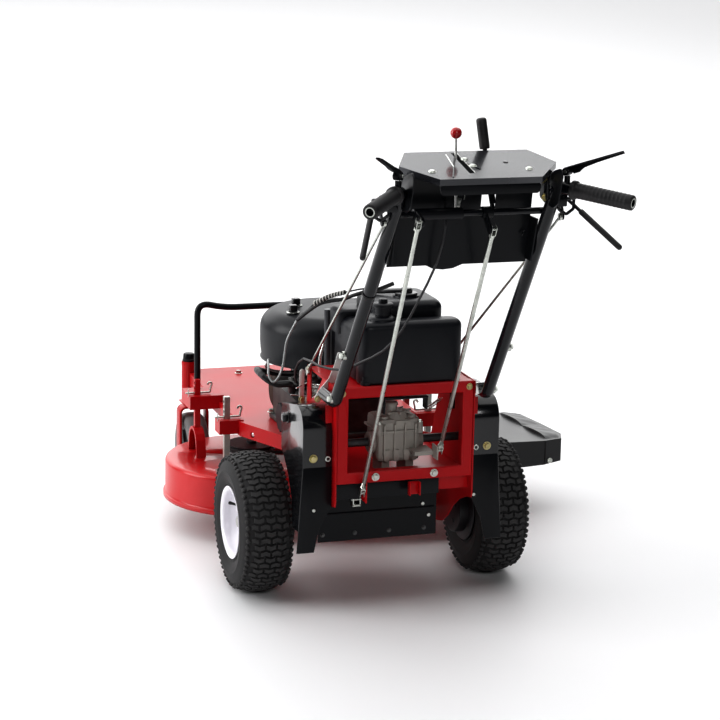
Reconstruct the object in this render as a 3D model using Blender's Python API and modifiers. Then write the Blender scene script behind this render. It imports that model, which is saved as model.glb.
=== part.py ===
"""Walk-behind lawn mower with a floating two-blade deck, modelled as separate named pieces.

Built with X to the right, Y forward and Z up. The drive axle's middle on the ground is the working
origin, and the finished assembly is moved so that its box stands centred on the world origin.
"""
import math

import bmesh
import bpy
from mathutils import Matrix, Vector

# Clearances between pieces that touch, and around turning shafts
GAP = 0.0003
SHAFT_GAP = 0.0005
WELD = 0.00001

# Drive wheels
TYRE_DIAMETER = 0.323
TYRE_WIDTH = 0.122
TYRE_WALL = 0.009
TRACK = 0.562
AXLE_Y = 0.024
BEAD_RADIUS = 0.0740
RIM_WALL = 0.003
RIM_FLANGE_RADIUS = 0.0820
RIM_HALF_WIDTH = 0.056
HUB_RADIUS = 0.022
AXLE_RADIUS = 0.0095
DRUM_RADIUS = 0.062
DRUM_WIDTH = 0.024
AXLE_HEIGHT = TYRE_DIAMETER / 2

# Rear frame and side plates
FRAME_HALF_WIDTH = 0.157
FRAME_TUBE = 0.025
FRAME_TOP = 0.521
FRAME_BOTTOM = 0.304
FRAME_REAR = -0.215
SHEET = 0.003
FLANGE_WIDTH = 0.019
PLATE_FRONT = 0.200

# Carrier frame, crossmember and hanger brackets
CARRIER_TOP = 0.305
CARRIER_SKIRT = 0.035
CARRIER_HALF_FRONT = 0.225
CARRIER_FLARE_START = 0.205
CARRIER_FLARE_END = 0.360
CROSS_DEPTH = 0.050
CROSS_HEIGHT = 0.050
CASTER_X = 0.222
CASTER_Y = 0.900
SLEEVE_RADIUS = 0.019
SLEEVE_TOP = 0.333
HANGER_X = {"rear": 0.250, "front": 0.276}
HANGER_REAR_Y = {"left": 0.390, "right": 0.345}
HANGER_FRONT_Y = {"left": 0.585, "right": 0.585}
BRACKET_SIZE = 0.046
BRACKET_REAR_TOP = 0.3075
BRACKET_FRONT_TOP = 0.322
BRACKET_DEPTH = 0.034

# Casters
CASTER_DIAMETER = 0.203
CASTER_WIDTH = 0.056
CASTER_TRAIL = 0.043
CASTER_BORE = 0.008
STRAP = 0.006
STRAP_WIDTH = 0.040
STEM_RADIUS = 0.0095
CAP_RADIUS = 0.017
CAP_HEIGHT = 0.022

# Deck, blades and chute
DECK_TOP = 0.170
DECK_BOTTOM = 0.075
CHAMBER_RADIUS = 0.215
SPINDLE_LEFT = (-0.150, 0.530)
SPINDLE_RIGHT = (0.245, 0.440)
DECK_RIGHT = 0.460
DECK_RIGHT_FRONT = 0.600
DISCHARGE_REAR = 0.380
EDGE_ROUND = 0.010
LIP = 0.005
LIP_HEIGHT = 0.012
SPINDLE_RADIUS = 0.0125
SPINDLE_PULLEY_RADIUS = 0.060
PULLEY_WIDTH = 0.018
BLADE_LENGTH = 0.400
BLADE_WIDTH = 0.058
BLADE_THICKNESS = 0.005
BLADE_TOP = 0.0975
BELT_THICKNESS = 0.008
BELT_WIDTH = 0.0072
POST_SIZE = 0.014
POST_TOP_REAR = 0.362
POST_TOP_FRONT = 0.360
ARCH_HEIGHT = 0.070
ARCH_WIDTH = 0.082
PIN_RADIUS = 0.004
PIN_LENGTH = 0.068
PIN_HOLE_PITCH = 0.0125
CHUTE_TOP = 0.196
CHUTE_LOW = 0.124
CHUTE_SHEET = 0.004
CHUTE_HINGE_X = 0.467
CHUTE_BARREL = 0.004

# Engine
ENGINE_X = -0.030
ENGINE_Y = 0.270
SHROUD_RADIUS = 0.165
SHROUD_BOTTOM = 0.478
SHROUD_TOP = 0.615
SHROUD_ROUND = 0.042
BLOCK_SIZE = (0.210, 0.230)
CRANK_RADIUS = 0.0125
CRANK_PULLEY_RADIUS = 0.050
CRANK_PULLEY_BOTTOM = 0.226
KNOB_SIZE = 0.018
KNOB_HEIGHT = 0.016
MUFFLER_RADIUS = 0.042
MUFFLER_LENGTH = 0.190

# Fuel tank
TANK_HALF_WIDTH = 0.122
TANK_REAR = -0.208
TANK_FRONT = 0.030
TANK_SHOULDER = 0.652
TANK_TOP = 0.694
SHELF_FRONT = 0.010

# Gearbox
GEARBOX_Y = -0.135
GEARBOX_WIDTH = 0.100
GEARBOX_DEPTH = 0.100
GEARBOX_TOP = 0.446
SHAFT_Z = 0.375
OUTPUT_RADIUS = 0.0095
OUTPUT_PULLEY_RADIUS = 0.030

# Wheel shields
GUARD_BOTTOM = 0.130
GUARD_RIGHT = 0.125
SHIELD_OUTER_X = 0.226
SHIELD_INNER_X = {"left": FRAME_HALF_WIDTH + 0.0080, "right": FRAME_HALF_WIDTH + 0.0065}
SHIELD_BOTTOM = 0.146
SHIELD_TOP = 0.480
SHIELD_BEND = 0.080
SHIELD_FRONT = -0.020
SHIELD_SIDE_BOTTOM = 0.342

# Handle, console and controls
HANDLE_RADIUS = 0.0135
HANDLE_FOOT_X = 0.1742
HANDLE_HEAD_X = 0.163
HANDLE_FOOT_Z = 0.500
HANDLE_FOOT_FRONT = -0.165
HANDLE_HEEL_Y = -0.250
HANDLE_HEAD_Y = -0.628
HANDLE_HEAD_Z = 1.015
GRIP_END = (0.268, -0.756, HANDLE_HEAD_Z - 0.017)
GRIP_RADIUS = 0.0155
GRIP_CORE = 0.0105
CONSOLE_Z = HANDLE_HEAD_Z + 0.047
CONSOLE_Y = -0.612
CONSOLE_TILT = math.radians(12.5)
CONSOLE_HALF_WIDTH = 0.165
CONSOLE_SKIRT = 0.014
SHAFT_Y = -0.572
LEVER_SHAFT_Z = HANDLE_HEAD_Z - 0.057
LEVER_SHAFT_RADIUS = 0.007
HUB_OUTER = 0.012
LEVER_FACE_X = 0.1893
PANEL_HALF_WIDTH = 0.1512
PANEL_TOP = HANDLE_HEAD_Z + 0.053
PANEL_BOTTOM = HANDLE_HEAD_Z - 0.173
PANEL_SHEET = 0.0025
PANEL_LOW_Y = -0.505
PANEL_HIGH_Y = -0.546
BLADE_LEVER_X = -0.030
SHIFT_LEVER_X = 0.050
BALL_RADIUS = 0.0103
ARM = 0.045
ROD_RADIUS = 0.0048
SIDE_ROD_RADIUS = 0.003
ROD_EYE = 0.0110
SIDE_EYE = 0.0064

# Guard hoop
HOOP_RADIUS = 0.008
HOOP_X = 0.262
HOOP_Y = 0.640
HOOP_TOP = 0.544
HOOP_DROP = 0.016

RED = (0.30, 0.006, 0.010, 1)
BLACK = (0.010, 0.012, 0.015, 1)
ZINC = (0.55, 0.58, 0.52, 1)


def clear_scene():
    for obj in list(bpy.data.objects):
        bpy.data.objects.remove(obj, do_unlink=True)


def new_collection(name):
    made = bpy.data.collections.new(name)
    bpy.context.scene.collection.children.link(made)
    return made


clear_scene()
PARTS = new_collection("lawn_mower")
CUTTERS = new_collection("cutters")


def material(name, colour, roughness, metallic=0.0):
    """A Principled material; the same name returns the same material."""
    if name in bpy.data.materials:
        return bpy.data.materials[name]
    made = bpy.data.materials.new(name)
    made.use_nodes = True
    shader = made.node_tree.nodes["Principled BSDF"]
    shader.inputs["Base Color"].default_value = colour
    shader.inputs["Roughness"].default_value = roughness
    shader.inputs["Metallic"].default_value = metallic
    made.diffuse_color = colour
    return made


RED_PAINT = material("red_paint", RED, 0.35)
BLACK_PAINT = material("black_paint", BLACK, 0.35)
BLACK_PLASTIC = material("black_plastic", (0.012, 0.013, 0.017, 1), 0.42)
RUBBER = material("rubber", (0.018, 0.017, 0.017, 1), 0.7)
TYRE_RUBBER = material("tyre_rubber", (0.025, 0.025, 0.025, 1), 0.8)
WHITE_PAINT = material("white_paint", (0.83, 0.80, 0.86, 1), 0.3)
ZINC_PLATE = material("zinc_plate", ZINC, 0.35, 0.9)
CAST_ALUMINIUM = material("cast_aluminium", (0.36, 0.33, 0.30, 1), 0.55, 0.8)
DARK_STEEL = material("dark_steel", (0.06, 0.06, 0.06, 1), 0.45, 0.8)
BARE_STEEL = material("bare_steel", (0.45, 0.45, 0.44, 1), 0.35, 0.95)
BELT_RUBBER = material("belt_rubber", (0.015, 0.015, 0.015, 1), 0.8)


def empty(name, at, parent):
    """A pivot or group point, given in the working frame."""
    made = bpy.data.objects.new(name, None)
    made.empty_display_size = 0.03
    PARTS.objects.link(made)
    made["at"] = tuple(at)
    if parent is not None:
        made.parent = parent
        made.location = Vector(at) - Vector(parent["at"])
    return made


ROOT = empty("mower_origin", (0, 0, 0), None)


def place(obj, at, pivot):
    """Hang an object on a pivot so that its own origin lies at a point of the working frame."""
    obj.parent = pivot
    obj.location = Vector(at) - Vector(pivot["at"])
    return obj


def keep(mesh, name, paint, at=(0, 0, 0), pivot=ROOT, smooth=None, cutter=False):
    """Make an object from a mesh, as a part or as a hidden cutter."""
    obj = bpy.data.objects.new(name, mesh)
    mesh.materials.append(paint)
    if cutter:
        CUTTERS.objects.link(obj)
        obj.hide_render = True
        obj.display_type = 'WIRE'
    else:
        PARTS.objects.link(obj)
    if smooth:
        mesh.shade_smooth()
        mesh.set_sharp_from_angle(angle=math.radians(smooth))
    return place(obj, at, pivot)


def mesh_from(bm, name):
    bmesh.ops.recalc_face_normals(bm, faces=bm.faces)
    mesh = bpy.data.meshes.new(name)
    bm.to_mesh(mesh)
    bm.free()
    return mesh


def box_mesh(size, centre=(0, 0, 0), name="box"):
    bm = bmesh.new()
    bmesh.ops.create_cube(bm, size=1.0)
    bmesh.ops.scale(bm, vec=size, verts=bm.verts)
    bmesh.ops.translate(bm, vec=centre, verts=bm.verts)
    return mesh_from(bm, name)


def drum_mesh(start, end, radius, sides=24, end_radius=None, name="drum"):
    """A cylinder or cone between two points."""
    start = Vector(start)
    end = Vector(end)
    run = end - start
    bm = bmesh.new()
    top = radius if end_radius is None else end_radius
    bmesh.ops.create_cone(bm, cap_ends=True, segments=sides, radius1=radius, radius2=top,
                          depth=run.length)
    turn = Vector((0, 0, 1)).rotation_difference(run.normalized()).to_matrix().to_4x4()
    bmesh.ops.transform(bm, matrix=Matrix.Translation((start + end) / 2) @ turn, verts=bm.verts)
    return mesh_from(bm, name)


def ball_mesh(centre, radius, name="ball"):
    bm = bmesh.new()
    bmesh.ops.create_uvsphere(bm, u_segments=14, v_segments=9, radius=radius)
    bmesh.ops.translate(bm, vec=centre, verts=bm.verts)
    return mesh_from(bm, name)


def plate_mesh(outline, thickness, plane="XY", start=0.0, name="plate", holes=()):
    """A flat outline as a filled 2D curve, laid in a plane from a starting level."""
    curve = bpy.data.curves.new(name, 'CURVE')
    curve.dimensions = '2D'
    curve.fill_mode = 'BOTH'
    curve.extrude = thickness / 2
    for loop in (outline, *holes):
        spline = curve.splines.new('POLY')
        spline.points.add(len(loop) - 1)
        for point, (u, v) in zip(spline.points, loop):
            point.co = (u, v, 0, 1)
        spline.use_cyclic_u = True
    mesh = curve_to_mesh(curve)
    middle = start + thickness / 2
    turns = {
        "XY": Matrix(((1, 0, 0, 0), (0, 1, 0, 0), (0, 0, 1, middle), (0, 0, 0, 1))),
        "YZ": Matrix(((0, 0, 1, middle), (1, 0, 0, 0), (0, 1, 0, 0), (0, 0, 0, 1))),
        "XZ": Matrix(((1, 0, 0, 0), (0, 0, -1, middle), (0, 1, 0, 0), (0, 0, 0, 1))),
    }
    mesh.transform(turns[plane])
    return mesh


def curve_to_mesh(curve):
    """The evaluated mesh of a curve, with its caps welded on."""
    holder = bpy.data.objects.new("holder", curve)
    CUTTERS.objects.link(holder)
    evaluated = holder.evaluated_get(bpy.context.evaluated_depsgraph_get())
    mesh = bpy.data.meshes.new_from_object(evaluated)
    bm = bmesh.new()
    bm.from_mesh(mesh)
    bmesh.ops.remove_doubles(bm, verts=bm.verts, dist=WELD)
    bmesh.ops.recalc_face_normals(bm, faces=bm.faces)
    bm.to_mesh(mesh)
    bm.free()
    bpy.data.objects.remove(holder, do_unlink=True)
    return mesh


def tube_mesh(points, radius, resolution=2, swell=None, name="tube"):
    """A round tube along points, with filled ends; swell scales the radius at each point."""
    curve = bpy.data.curves.new(name, 'CURVE')
    curve.dimensions = '3D'
    curve.bevel_depth = radius
    curve.bevel_resolution = resolution
    curve.use_fill_caps = True
    spline = curve.splines.new('POLY')
    spline.points.add(len(points) - 1)
    for index, co in enumerate(points):
        spline.points[index].co = (*co, 1)
        if swell:
            spline.points[index].radius = swell[index]
    return curve_to_mesh(curve)


def rounded(points, radius, steps=5):
    """Points of a bent bar: straight runs joined by arcs of one radius."""
    points = [Vector(p) for p in points]
    made = [points[0]]
    for before, corner, after in zip(points, points[1:], points[2:]):
        back = (before - corner).normalized()
        ahead = (after - corner).normalized()
        half = math.acos(max(-1.0, min(1.0, back.dot(ahead)))) / 2
        reach = min(radius / math.tan(half), (before - corner).length * 0.49,
                    (after - corner).length * 0.49)
        bend = reach * math.tan(half)
        middle = corner + (back + ahead).normalized() * (bend / math.sin(half))
        first = corner + back * reach - middle
        last = corner + ahead * reach - middle
        for step in range(steps + 1):
            made.append(middle + first.slerp(last, step / steps) * bend)
    made.append(points[-1])
    return made


def smooth_route(points, per_run=4):
    """A smooth curve through a cable's own points."""
    points = [Vector(p) for p in points]
    padded = [points[0] * 2 - points[1], *points, points[-1] * 2 - points[-2]]
    made = []
    for a, b, c, d in zip(padded, padded[1:], padded[2:], padded[3:]):
        for step in range(per_run):
            t = step / per_run
            made.append(0.5 * ((2 * b) + (c - a) * t + (2 * a - 5 * b + 4 * c - d) * t * t
                               + (3 * b - 3 * c + d - a) * t * t * t))
    made.append(points[-1])
    return made


def turned(name, profile, paint, at, pivot, axis="X", steps=32, flip=False, level=False):
    """A turned piece: a closed profile of (radius, height) swept round its own axis.

    A level piece starts half a step round, so that it stands on a flat and not on a corner.
    """
    lead = math.pi / steps if level else 0.0
    bm = bmesh.new()
    verts = [bm.verts.new((r * math.cos(lead), r * math.sin(lead), h)) for r, h in profile]
    for a, b in zip(verts, verts[1:] + verts[:1]):
        if a.co.x > 0 or b.co.x > 0:
            bm.edges.new((a, b))
    mesh = bpy.data.meshes.new(name)
    bm.to_mesh(mesh)
    bm.free()
    obj = keep(mesh, name, paint, at, pivot)
    screw = obj.modifiers.new("turn", 'SCREW')
    screw.steps = steps
    screw.render_steps = steps
    screw.use_merge_vertices = True
    screw.merge_threshold = 0.00001
    screw.use_smooth_shade = True
    if axis == "X":
        obj.rotation_euler = (0, math.radians(-90 if flip else 90), 0)
    return obj


def cut(target, *meshes, pivot=ROOT):
    """Take meshes, given in the working frame, out of a piece."""
    for mesh in meshes:
        cutter = keep(mesh, target.name + "_cut", BARE_STEEL, (0, 0, 0), pivot, cutter=True)
        step = target.modifiers.new("cut", 'BOOLEAN')
        step.operation = 'DIFFERENCE'
        step.object = cutter
    return target


def fuse(target, *meshes, pivot=ROOT):
    """Join meshes, given in the working frame, onto a piece."""
    for mesh in meshes:
        added = keep(mesh, target.name + "_join", target.active_material, (0, 0, 0), pivot,
                     cutter=True)
        step = target.modifiers.new("join", 'BOOLEAN')
        step.operation = 'UNION'
        step.object = added
    return target


def shell(obj, thickness, offset=-1.0):
    made = obj.modifiers.new("shell", 'SOLIDIFY')
    made.thickness = thickness
    made.offset = offset
    made.use_even_offset = True
    return made


def bevel(obj, width, segments=2, angle=40):
    made = obj.modifiers.new("edges", 'BEVEL')
    made.width = width
    made.segments = segments
    made.limit_method = 'ANGLE'
    made.angle_limit = math.radians(angle)
    return made


def arc(centre, radius, start, end, steps):
    """Points of an arc in degrees, both ends included."""
    made = []
    for step in range(steps + 1):
        angle = math.radians(start + (end - start) * step / steps)
        made.append((centre[0] + radius * math.cos(angle), centre[1] + radius * math.sin(angle)))
    return made


def box_at(low, high, name="box"):
    size = [b - a for a, b in zip(low, high)]
    centre = [(a + b) / 2 for a, b in zip(low, high)]
    return box_mesh(size, centre, name)


def mirrored(points, side):
    return [(side * p[0], p[1], p[2]) for p in points]


SIDES = (("left", -1), ("right", 1))


# Drive wheels: a hollow tyre on a dished rim, whose hub carries the brake drum
def tyre_profile():
    """A hollow tyre, open at the beads, as (radius, offset from its middle plane)."""
    radius = TYRE_DIAMETER / 2
    half = TYRE_WIDTH / 2
    bead = BEAD_RADIUS + GAP
    bead_half = RIM_HALF_WIDTH - 0.0065
    outer = [(bead, bead_half), (RIM_FLANGE_RADIUS + 0.002, bead_half),
             (radius - 0.062, half - 0.001), (radius - 0.044, half), (radius - 0.024, half - 0.006),
             (radius - 0.010, half - 0.017), (radius - 0.003, half - 0.033), (radius, 0.0)]
    inner = [(bead, bead_half - TYRE_WALL), (radius - 0.064, half - TYRE_WALL),
             (radius - 0.028, half - TYRE_WALL - 0.008), (radius - TYRE_WALL - 0.003, half - 0.036)]
    ring = outer + [(r, -h) for r, h in reversed(outer[:-1])]
    return ring + [(r, -h) for r, h in inner] + [(r, h) for r, h in reversed(inner)]


def rim_profile():
    """Dished wheel disc, barrel and hub, with the brake drum on the inboard side."""
    barrel = BEAD_RADIUS
    inside = BEAD_RADIUS - RIM_WALL
    half = RIM_HALF_WIDTH
    bore = AXLE_RADIUS + SHAFT_GAP
    drum_end = -half - 0.004 - DRUM_WIDTH
    return [
        (bore, 0.030), (HUB_RADIUS, 0.030), (HUB_RADIUS, 0.020), (0.050, 0.014), (0.066, 0.030),
        (inside, 0.036), (inside, half), (RIM_FLANGE_RADIUS, half),
        (RIM_FLANGE_RADIUS, half - RIM_WALL), (barrel, half - 0.0062), (barrel, -half + 0.0062),
        (RIM_FLANGE_RADIUS, -half + RIM_WALL), (RIM_FLANGE_RADIUS, -half), (inside, -half),
        (inside, 0.033), (0.066, 0.027), (0.050, 0.011), (HUB_RADIUS + 0.004, 0.016),
        (HUB_RADIUS + 0.004, -half - 0.004), (DRUM_RADIUS, -half - 0.004),
        (DRUM_RADIUS, drum_end), (bore, drum_end),
    ]


def make_drive_wheels():
    for name, side in SIDES:
        at = (side * TRACK / 2, AXLE_Y, AXLE_HEIGHT)
        pivot = empty("wheel_" + name, at, ROOT)
        turned("tyre_" + name, tyre_profile(), TYRE_RUBBER, at, pivot, flip=side < 0, steps=24,
               level=True)
        turned("rim_" + name, rim_profile(), WHITE_PAINT, at, pivot, flip=side < 0, steps=24,
               level=True)


def make_axle():
    reach = TRACK / 2 + 0.038
    mesh = drum_mesh((-reach, AXLE_Y, AXLE_HEIGHT), (reach, AXLE_Y, AXLE_HEIGHT), AXLE_RADIUS, 24)
    keep(mesh, "axle", BARE_STEEL, smooth=40)


# Chassis: window frame, side plates, shields and lower guard
def make_rear_frame():
    half = FRAME_HALF_WIDTH
    outer = [(-half, FRAME_BOTTOM), (half, FRAME_BOTTOM), (half, FRAME_TOP), (-half, FRAME_TOP)]
    inset = FRAME_TUBE
    hole = [(-half + inset, FRAME_BOTTOM + inset), (half - inset, FRAME_BOTTOM + inset),
            (half - inset, FRAME_TOP - inset), (-half + inset, FRAME_TOP - inset)]
    mesh = plate_mesh(outer, FRAME_TUBE, "XZ", FRAME_REAR, "rear_frame", [hole])
    frame = keep(mesh, "rear_frame", RED_PAINT)
    bevel(frame, 0.002, 1)
    shelf = box_at((-half, FRAME_REAR + 0.010, FRAME_TOP - 0.006),
                   (half, SHELF_FRONT, FRAME_TOP - 0.002))
    lug_x = control_rod_x("left", "low") + ROD_EYE / 2 + GAP
    lug = box_at((lug_x, FRAME_REAR - 0.020, FRAME_BOTTOM - 0.040),
                 (lug_x + SHEET, FRAME_REAR + 0.012, FRAME_BOTTOM + 0.006))
    fuse(frame, shelf, lug)


def side_outline():
    rear = FRAME_REAR
    lower = [(rear, 0.262), (rear + 0.005, 0.252), (rear + 0.032, 0.246), (rear + 0.080, 0.226),
             (rear + 0.118, 0.200), (rear + 0.150, 0.168), (rear + 0.185, 0.144), (rear + 0.225, 0.134),
             (0.030, 0.132), (0.110, 0.190),
             (PLATE_FRONT, 0.262)]
    ear_z = side_rod_end(1)[2]
    upper = [(PLATE_FRONT, CARRIER_TOP), (0.060, 0.330), (0.030, 0.400), (0.012, 0.450),
             (0.008, ear_z + 0.012), (-0.014, ear_z + 0.012), (-0.020, 0.450), (-0.060, 0.470),
             (-0.110, FRAME_TOP)]
    return [(rear, FRAME_TOP)] + lower + upper


def make_side_plates():
    flange_rear = FRAME_REAR + FRAME_TUBE
    for name, side in SIDES:
        near = FRAME_HALF_WIDTH + GAP
        start = side * near - (SHEET if side < 0 else 0.0)
        plate = keep(plate_mesh(side_outline(), SHEET, "YZ", start), "side_plate_" + name, RED_PAINT)
        edges = sorted((side * (near + 0.001), side * (near + FLANGE_WIDTH)))
        fuse(plate, box_at((edges[0], flange_rear, 0.250), (edges[1], flange_rear + SHEET, 0.478)))
        holes = []
        for y, z, radius in ((AXLE_Y, AXLE_HEIGHT, AXLE_RADIUS + SHAFT_GAP),
                             (GEARBOX_Y, SHAFT_Z, OUTPUT_RADIUS + SHAFT_GAP)):
            holes.append(drum_mesh((side * (near - 0.015), y, z), (side * (near + 0.015), y, z),
                                   radius))
        cut(plate, *holes)


def make_wheel_shields():
    """Bent sheets over the drive wheels: a rear strip, a rounded top and an outer side face."""
    rear = FRAME_REAR + FRAME_TUBE - GAP
    bend = arc((rear + SHIELD_BEND, SHIELD_TOP - SHIELD_BEND), SHIELD_BEND, 180, 90, 6)
    beside = FRAME_HALF_WIDTH + FLANGE_WIDTH + 2 * GAP
    for name, side in SIDES:
        near = SHIELD_INNER_X[name]
        wide = SHIELD_OUTER_X
        rows = [(rear, SHIELD_BOTTOM, 0.200, 0.240), (rear, 0.196, 0.190, 0.236),
                (rear, 0.250, near, 0.232), (rear, SHIELD_SIDE_BOTTOM, near, wide),
                (rear, bend[0][1] - 0.004, near, wide)]
        rows += [(y, z, beside, wide) for y, z in bend] + [(SHIELD_FRONT, SHIELD_TOP, beside, wide)]
        bm = bmesh.new()
        inner = [bm.verts.new((side * x, y, z)) for y, z, x, _ in rows]
        outer = [bm.verts.new((side * x, y, z)) for y, z, _, x in rows]
        for index in range(len(rows) - 1):
            bm.faces.new((inner[index], inner[index + 1], outer[index + 1], outer[index]))
        corner = bm.verts.new((side * wide, SHIELD_FRONT, SHIELD_SIDE_BOTTOM))
        bm.faces.new(outer[3:] + [corner])
        shield = keep(mesh_from(bm, "wheel_shield_" + name), "wheel_shield_" + name, BLACK_PAINT)
        shell(shield, 0.002, offset=1.0)


def make_rear_guard():
    half = FRAME_HALF_WIDTH - GAP
    panel = box_at((-half, -0.078, GUARD_BOTTOM), (GUARD_RIGHT, -0.076, 0.268))
    guard = keep(panel, "rear_guard", BLACK_PAINT)
    shelf = box_at((-half, -0.0765, 0.266), (half, -0.030, 0.268))
    fuse(guard, shelf)


# Carrier frame: engine deck, front crossmember with caster sleeves, hanger brackets
def carrier_outline():
    rear_half = FRAME_HALF_WIDTH
    rear = FRAME_REAR + FRAME_TUBE + GAP
    front = CASTER_Y - CROSS_DEPTH / 2 + 0.002
    right = [(rear_half, rear), (rear_half, CARRIER_FLARE_START),
             (CARRIER_HALF_FRONT, CARRIER_FLARE_END), (CARRIER_HALF_FRONT, front)]
    return right + [(-x, y) for x, y in reversed(right)]


def make_carrier():
    bm = bmesh.new()
    outline = carrier_outline()
    top = [bm.verts.new((x, y, CARRIER_TOP)) for x, y in outline]
    low = [bm.verts.new((x, y, CARRIER_TOP - CARRIER_SKIRT)) for x, y in outline]
    bm.faces.new(top)
    for index in range(len(top)):
        after = (index + 1) % len(top)
        bm.faces.new((top[index], low[index], low[after], top[after]))
    carrier = keep(mesh_from(bm, "carrier_frame"), "carrier_frame", RED_PAINT)
    shell(carrier, SHEET)
    added = [box_at((-CASTER_X + 0.004, CASTER_Y - CROSS_DEPTH / 2, CARRIER_TOP - CROSS_HEIGHT),
                    (CASTER_X - 0.004, CASTER_Y + CROSS_DEPTH / 2, CARRIER_TOP - 0.001))]
    taken = []
    for name, side in SIDES:
        x = side * CASTER_X
        sleeve_low = fork_top() + GAP
        added.append(drum_mesh((x, CASTER_Y, sleeve_low), (x, CASTER_Y, SLEEVE_TOP),
                               SLEEVE_RADIUS, 20))
        taken.append(drum_mesh((x, CASTER_Y, sleeve_low - 0.01), (x, CASTER_Y, SLEEVE_TOP + 0.01),
                               STEM_RADIUS + SHAFT_GAP, 20))
        for y, level, ahead in ((HANGER_REAR_Y[name], BRACKET_REAR_TOP, 0.0),
                                (HANGER_FRONT_Y[name], BRACKET_FRONT_TOP, 0.030)):
            hang = side * HANGER_X["front" if ahead else "rear"]
            near = side * (CARRIER_HALF_FRONT - 0.012)
            far = hang + side * BRACKET_SIZE / 2
            reach = max(BRACKET_SIZE / 2 + ahead, HOOP_Y - y + 0.015 if ahead else 0.0)
            added.append(box_at((min(near, far), y - BRACKET_SIZE / 2, level - BRACKET_DEPTH),
                                (max(near, far), y + reach, level)))
            hole = POST_SIZE / 2 + GAP
            taken.append(box_at((hang - hole, y - hole, level - 0.08),
                                (hang + hole, y + hole, level + 0.02)))
    taken.append(drum_mesh((-0.235, 0.315, 0.282), (-0.180, 0.315, 0.282), 0.0068, 12))
    taken.append(drum_mesh((ENGINE_X, ENGINE_Y, CARRIER_TOP - 0.02),
                           (ENGINE_X, ENGINE_Y, CARRIER_TOP + 0.01), CRANK_RADIUS + 0.006, 20))
    fuse(carrier, *added)
    cut(carrier, *taken)


def make_guard_hoop():
    foot = BRACKET_FRONT_TOP + GAP
    middle = 0.070
    points = [(-HOOP_X, HOOP_Y, foot), (-HOOP_X, HOOP_Y, HOOP_TOP),
              (-HOOP_X + middle, HOOP_Y, HOOP_TOP - HOOP_DROP),
              (HOOP_X - middle, HOOP_Y, HOOP_TOP - HOOP_DROP),
              (HOOP_X, HOOP_Y, HOOP_TOP), (HOOP_X, HOOP_Y, foot)]
    keep(tube_mesh(rounded(points, 0.035, 5), HOOP_RADIUS, 2), "guard_hoop", BLACK_PAINT, smooth=50)


# Casters
def fork_top():
    return CASTER_DIAMETER + 0.016 + STRAP


def make_casters():
    for name, side in SIDES:
        stem = (side * CASTER_X, CASTER_Y, 0)
        swivel = empty("caster_swivel_" + name, stem, ROOT)
        hub = (side * CASTER_X, CASTER_Y - CASTER_TRAIL, CASTER_DIAMETER / 2)
        roll = empty("caster_roll_" + name, hub, swivel)
        x, y, z = hub
        inside = CASTER_WIDTH / 2 + 0.005
        outside = inside + STRAP
        arch = [(x - outside, z - 0.020), (x - outside, fork_top()), (x + outside, fork_top()),
                (x + outside, z - 0.020), (x + inside, z - 0.020),
                (x + inside, fork_top() - STRAP), (x - inside, fork_top() - STRAP),
                (x - inside, z - 0.020)]
        strap = plate_mesh(arch, STRAP_WIDTH, "XZ", y - STRAP_WIDTH / 2, "caster_fork")
        fork = keep(strap, "caster_fork_" + name, RED_PAINT, pivot=swivel, at=(0, 0, 0))
        fork.location = -Vector(swivel["at"])
        plate = box_at((x - 0.025, y - 0.018, fork_top() - 0.004),
                       (x + 0.025, CASTER_Y + 0.022, fork_top()))
        stem_mesh = drum_mesh((x, CASTER_Y, fork_top() - 0.003),
                              (x, CASTER_Y, SLEEVE_TOP + GAP + 0.004), STEM_RADIUS, 20)
        cap = drum_mesh((x, CASTER_Y, SLEEVE_TOP + GAP), (x, CASTER_Y, SLEEVE_TOP + CAP_HEIGHT),
                        CAP_RADIUS, 20, CAP_RADIUS - 0.003)
        pin = drum_mesh((x - outside - 0.004, y, z), (x + outside + 0.004, y, z), CASTER_BORE, 16)
        fuse(fork, plate, stem_mesh, cap, pin, pivot=swivel)
        bore = CASTER_BORE + SHAFT_GAP
        half = CASTER_WIDTH / 2
        radius = CASTER_DIAMETER / 2
        profile = [(bore, half + 0.003), (0.020, half + 0.003), (0.024, half - 0.012),
                   (0.060, half - 0.012), (0.064, half - 0.003), (radius - 0.014, half),
                   (radius, half - 0.013), (radius, -half + 0.013), (radius - 0.014, -half),
                   (0.064, -half + 0.003), (0.060, -half + 0.012), (0.024, -half + 0.012),
                   (0.020, -half - 0.003), (bore, -half - 0.003)]
        turned("caster_wheel_" + name, profile, RUBBER, hub, roll, steps=18, level=True)


# Deck
def deck_outline(grow=0.0):
    ahead = Vector(SPINDLE_RIGHT) - Vector(SPINDLE_LEFT)
    lean = math.degrees(math.atan2(ahead.y, ahead.x))
    radius = CHAMBER_RADIUS + grow
    left = arc(SPINDLE_LEFT, radius, 90 + lean, 270 + lean, 16)
    right = arc(SPINDLE_RIGHT, radius, 270 + lean, 360, 8)
    corner = [(DECK_RIGHT + grow, DISCHARGE_REAR + 0.13), (DECK_RIGHT + grow, DECK_RIGHT_FRONT),
              (DECK_RIGHT - 0.025 + grow, DECK_RIGHT_FRONT + 0.040 + grow)]
    last = arc(SPINDLE_RIGHT, radius, 90 + lean, 90 + lean, 1)[:1]
    return left + right + corner + last


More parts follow.
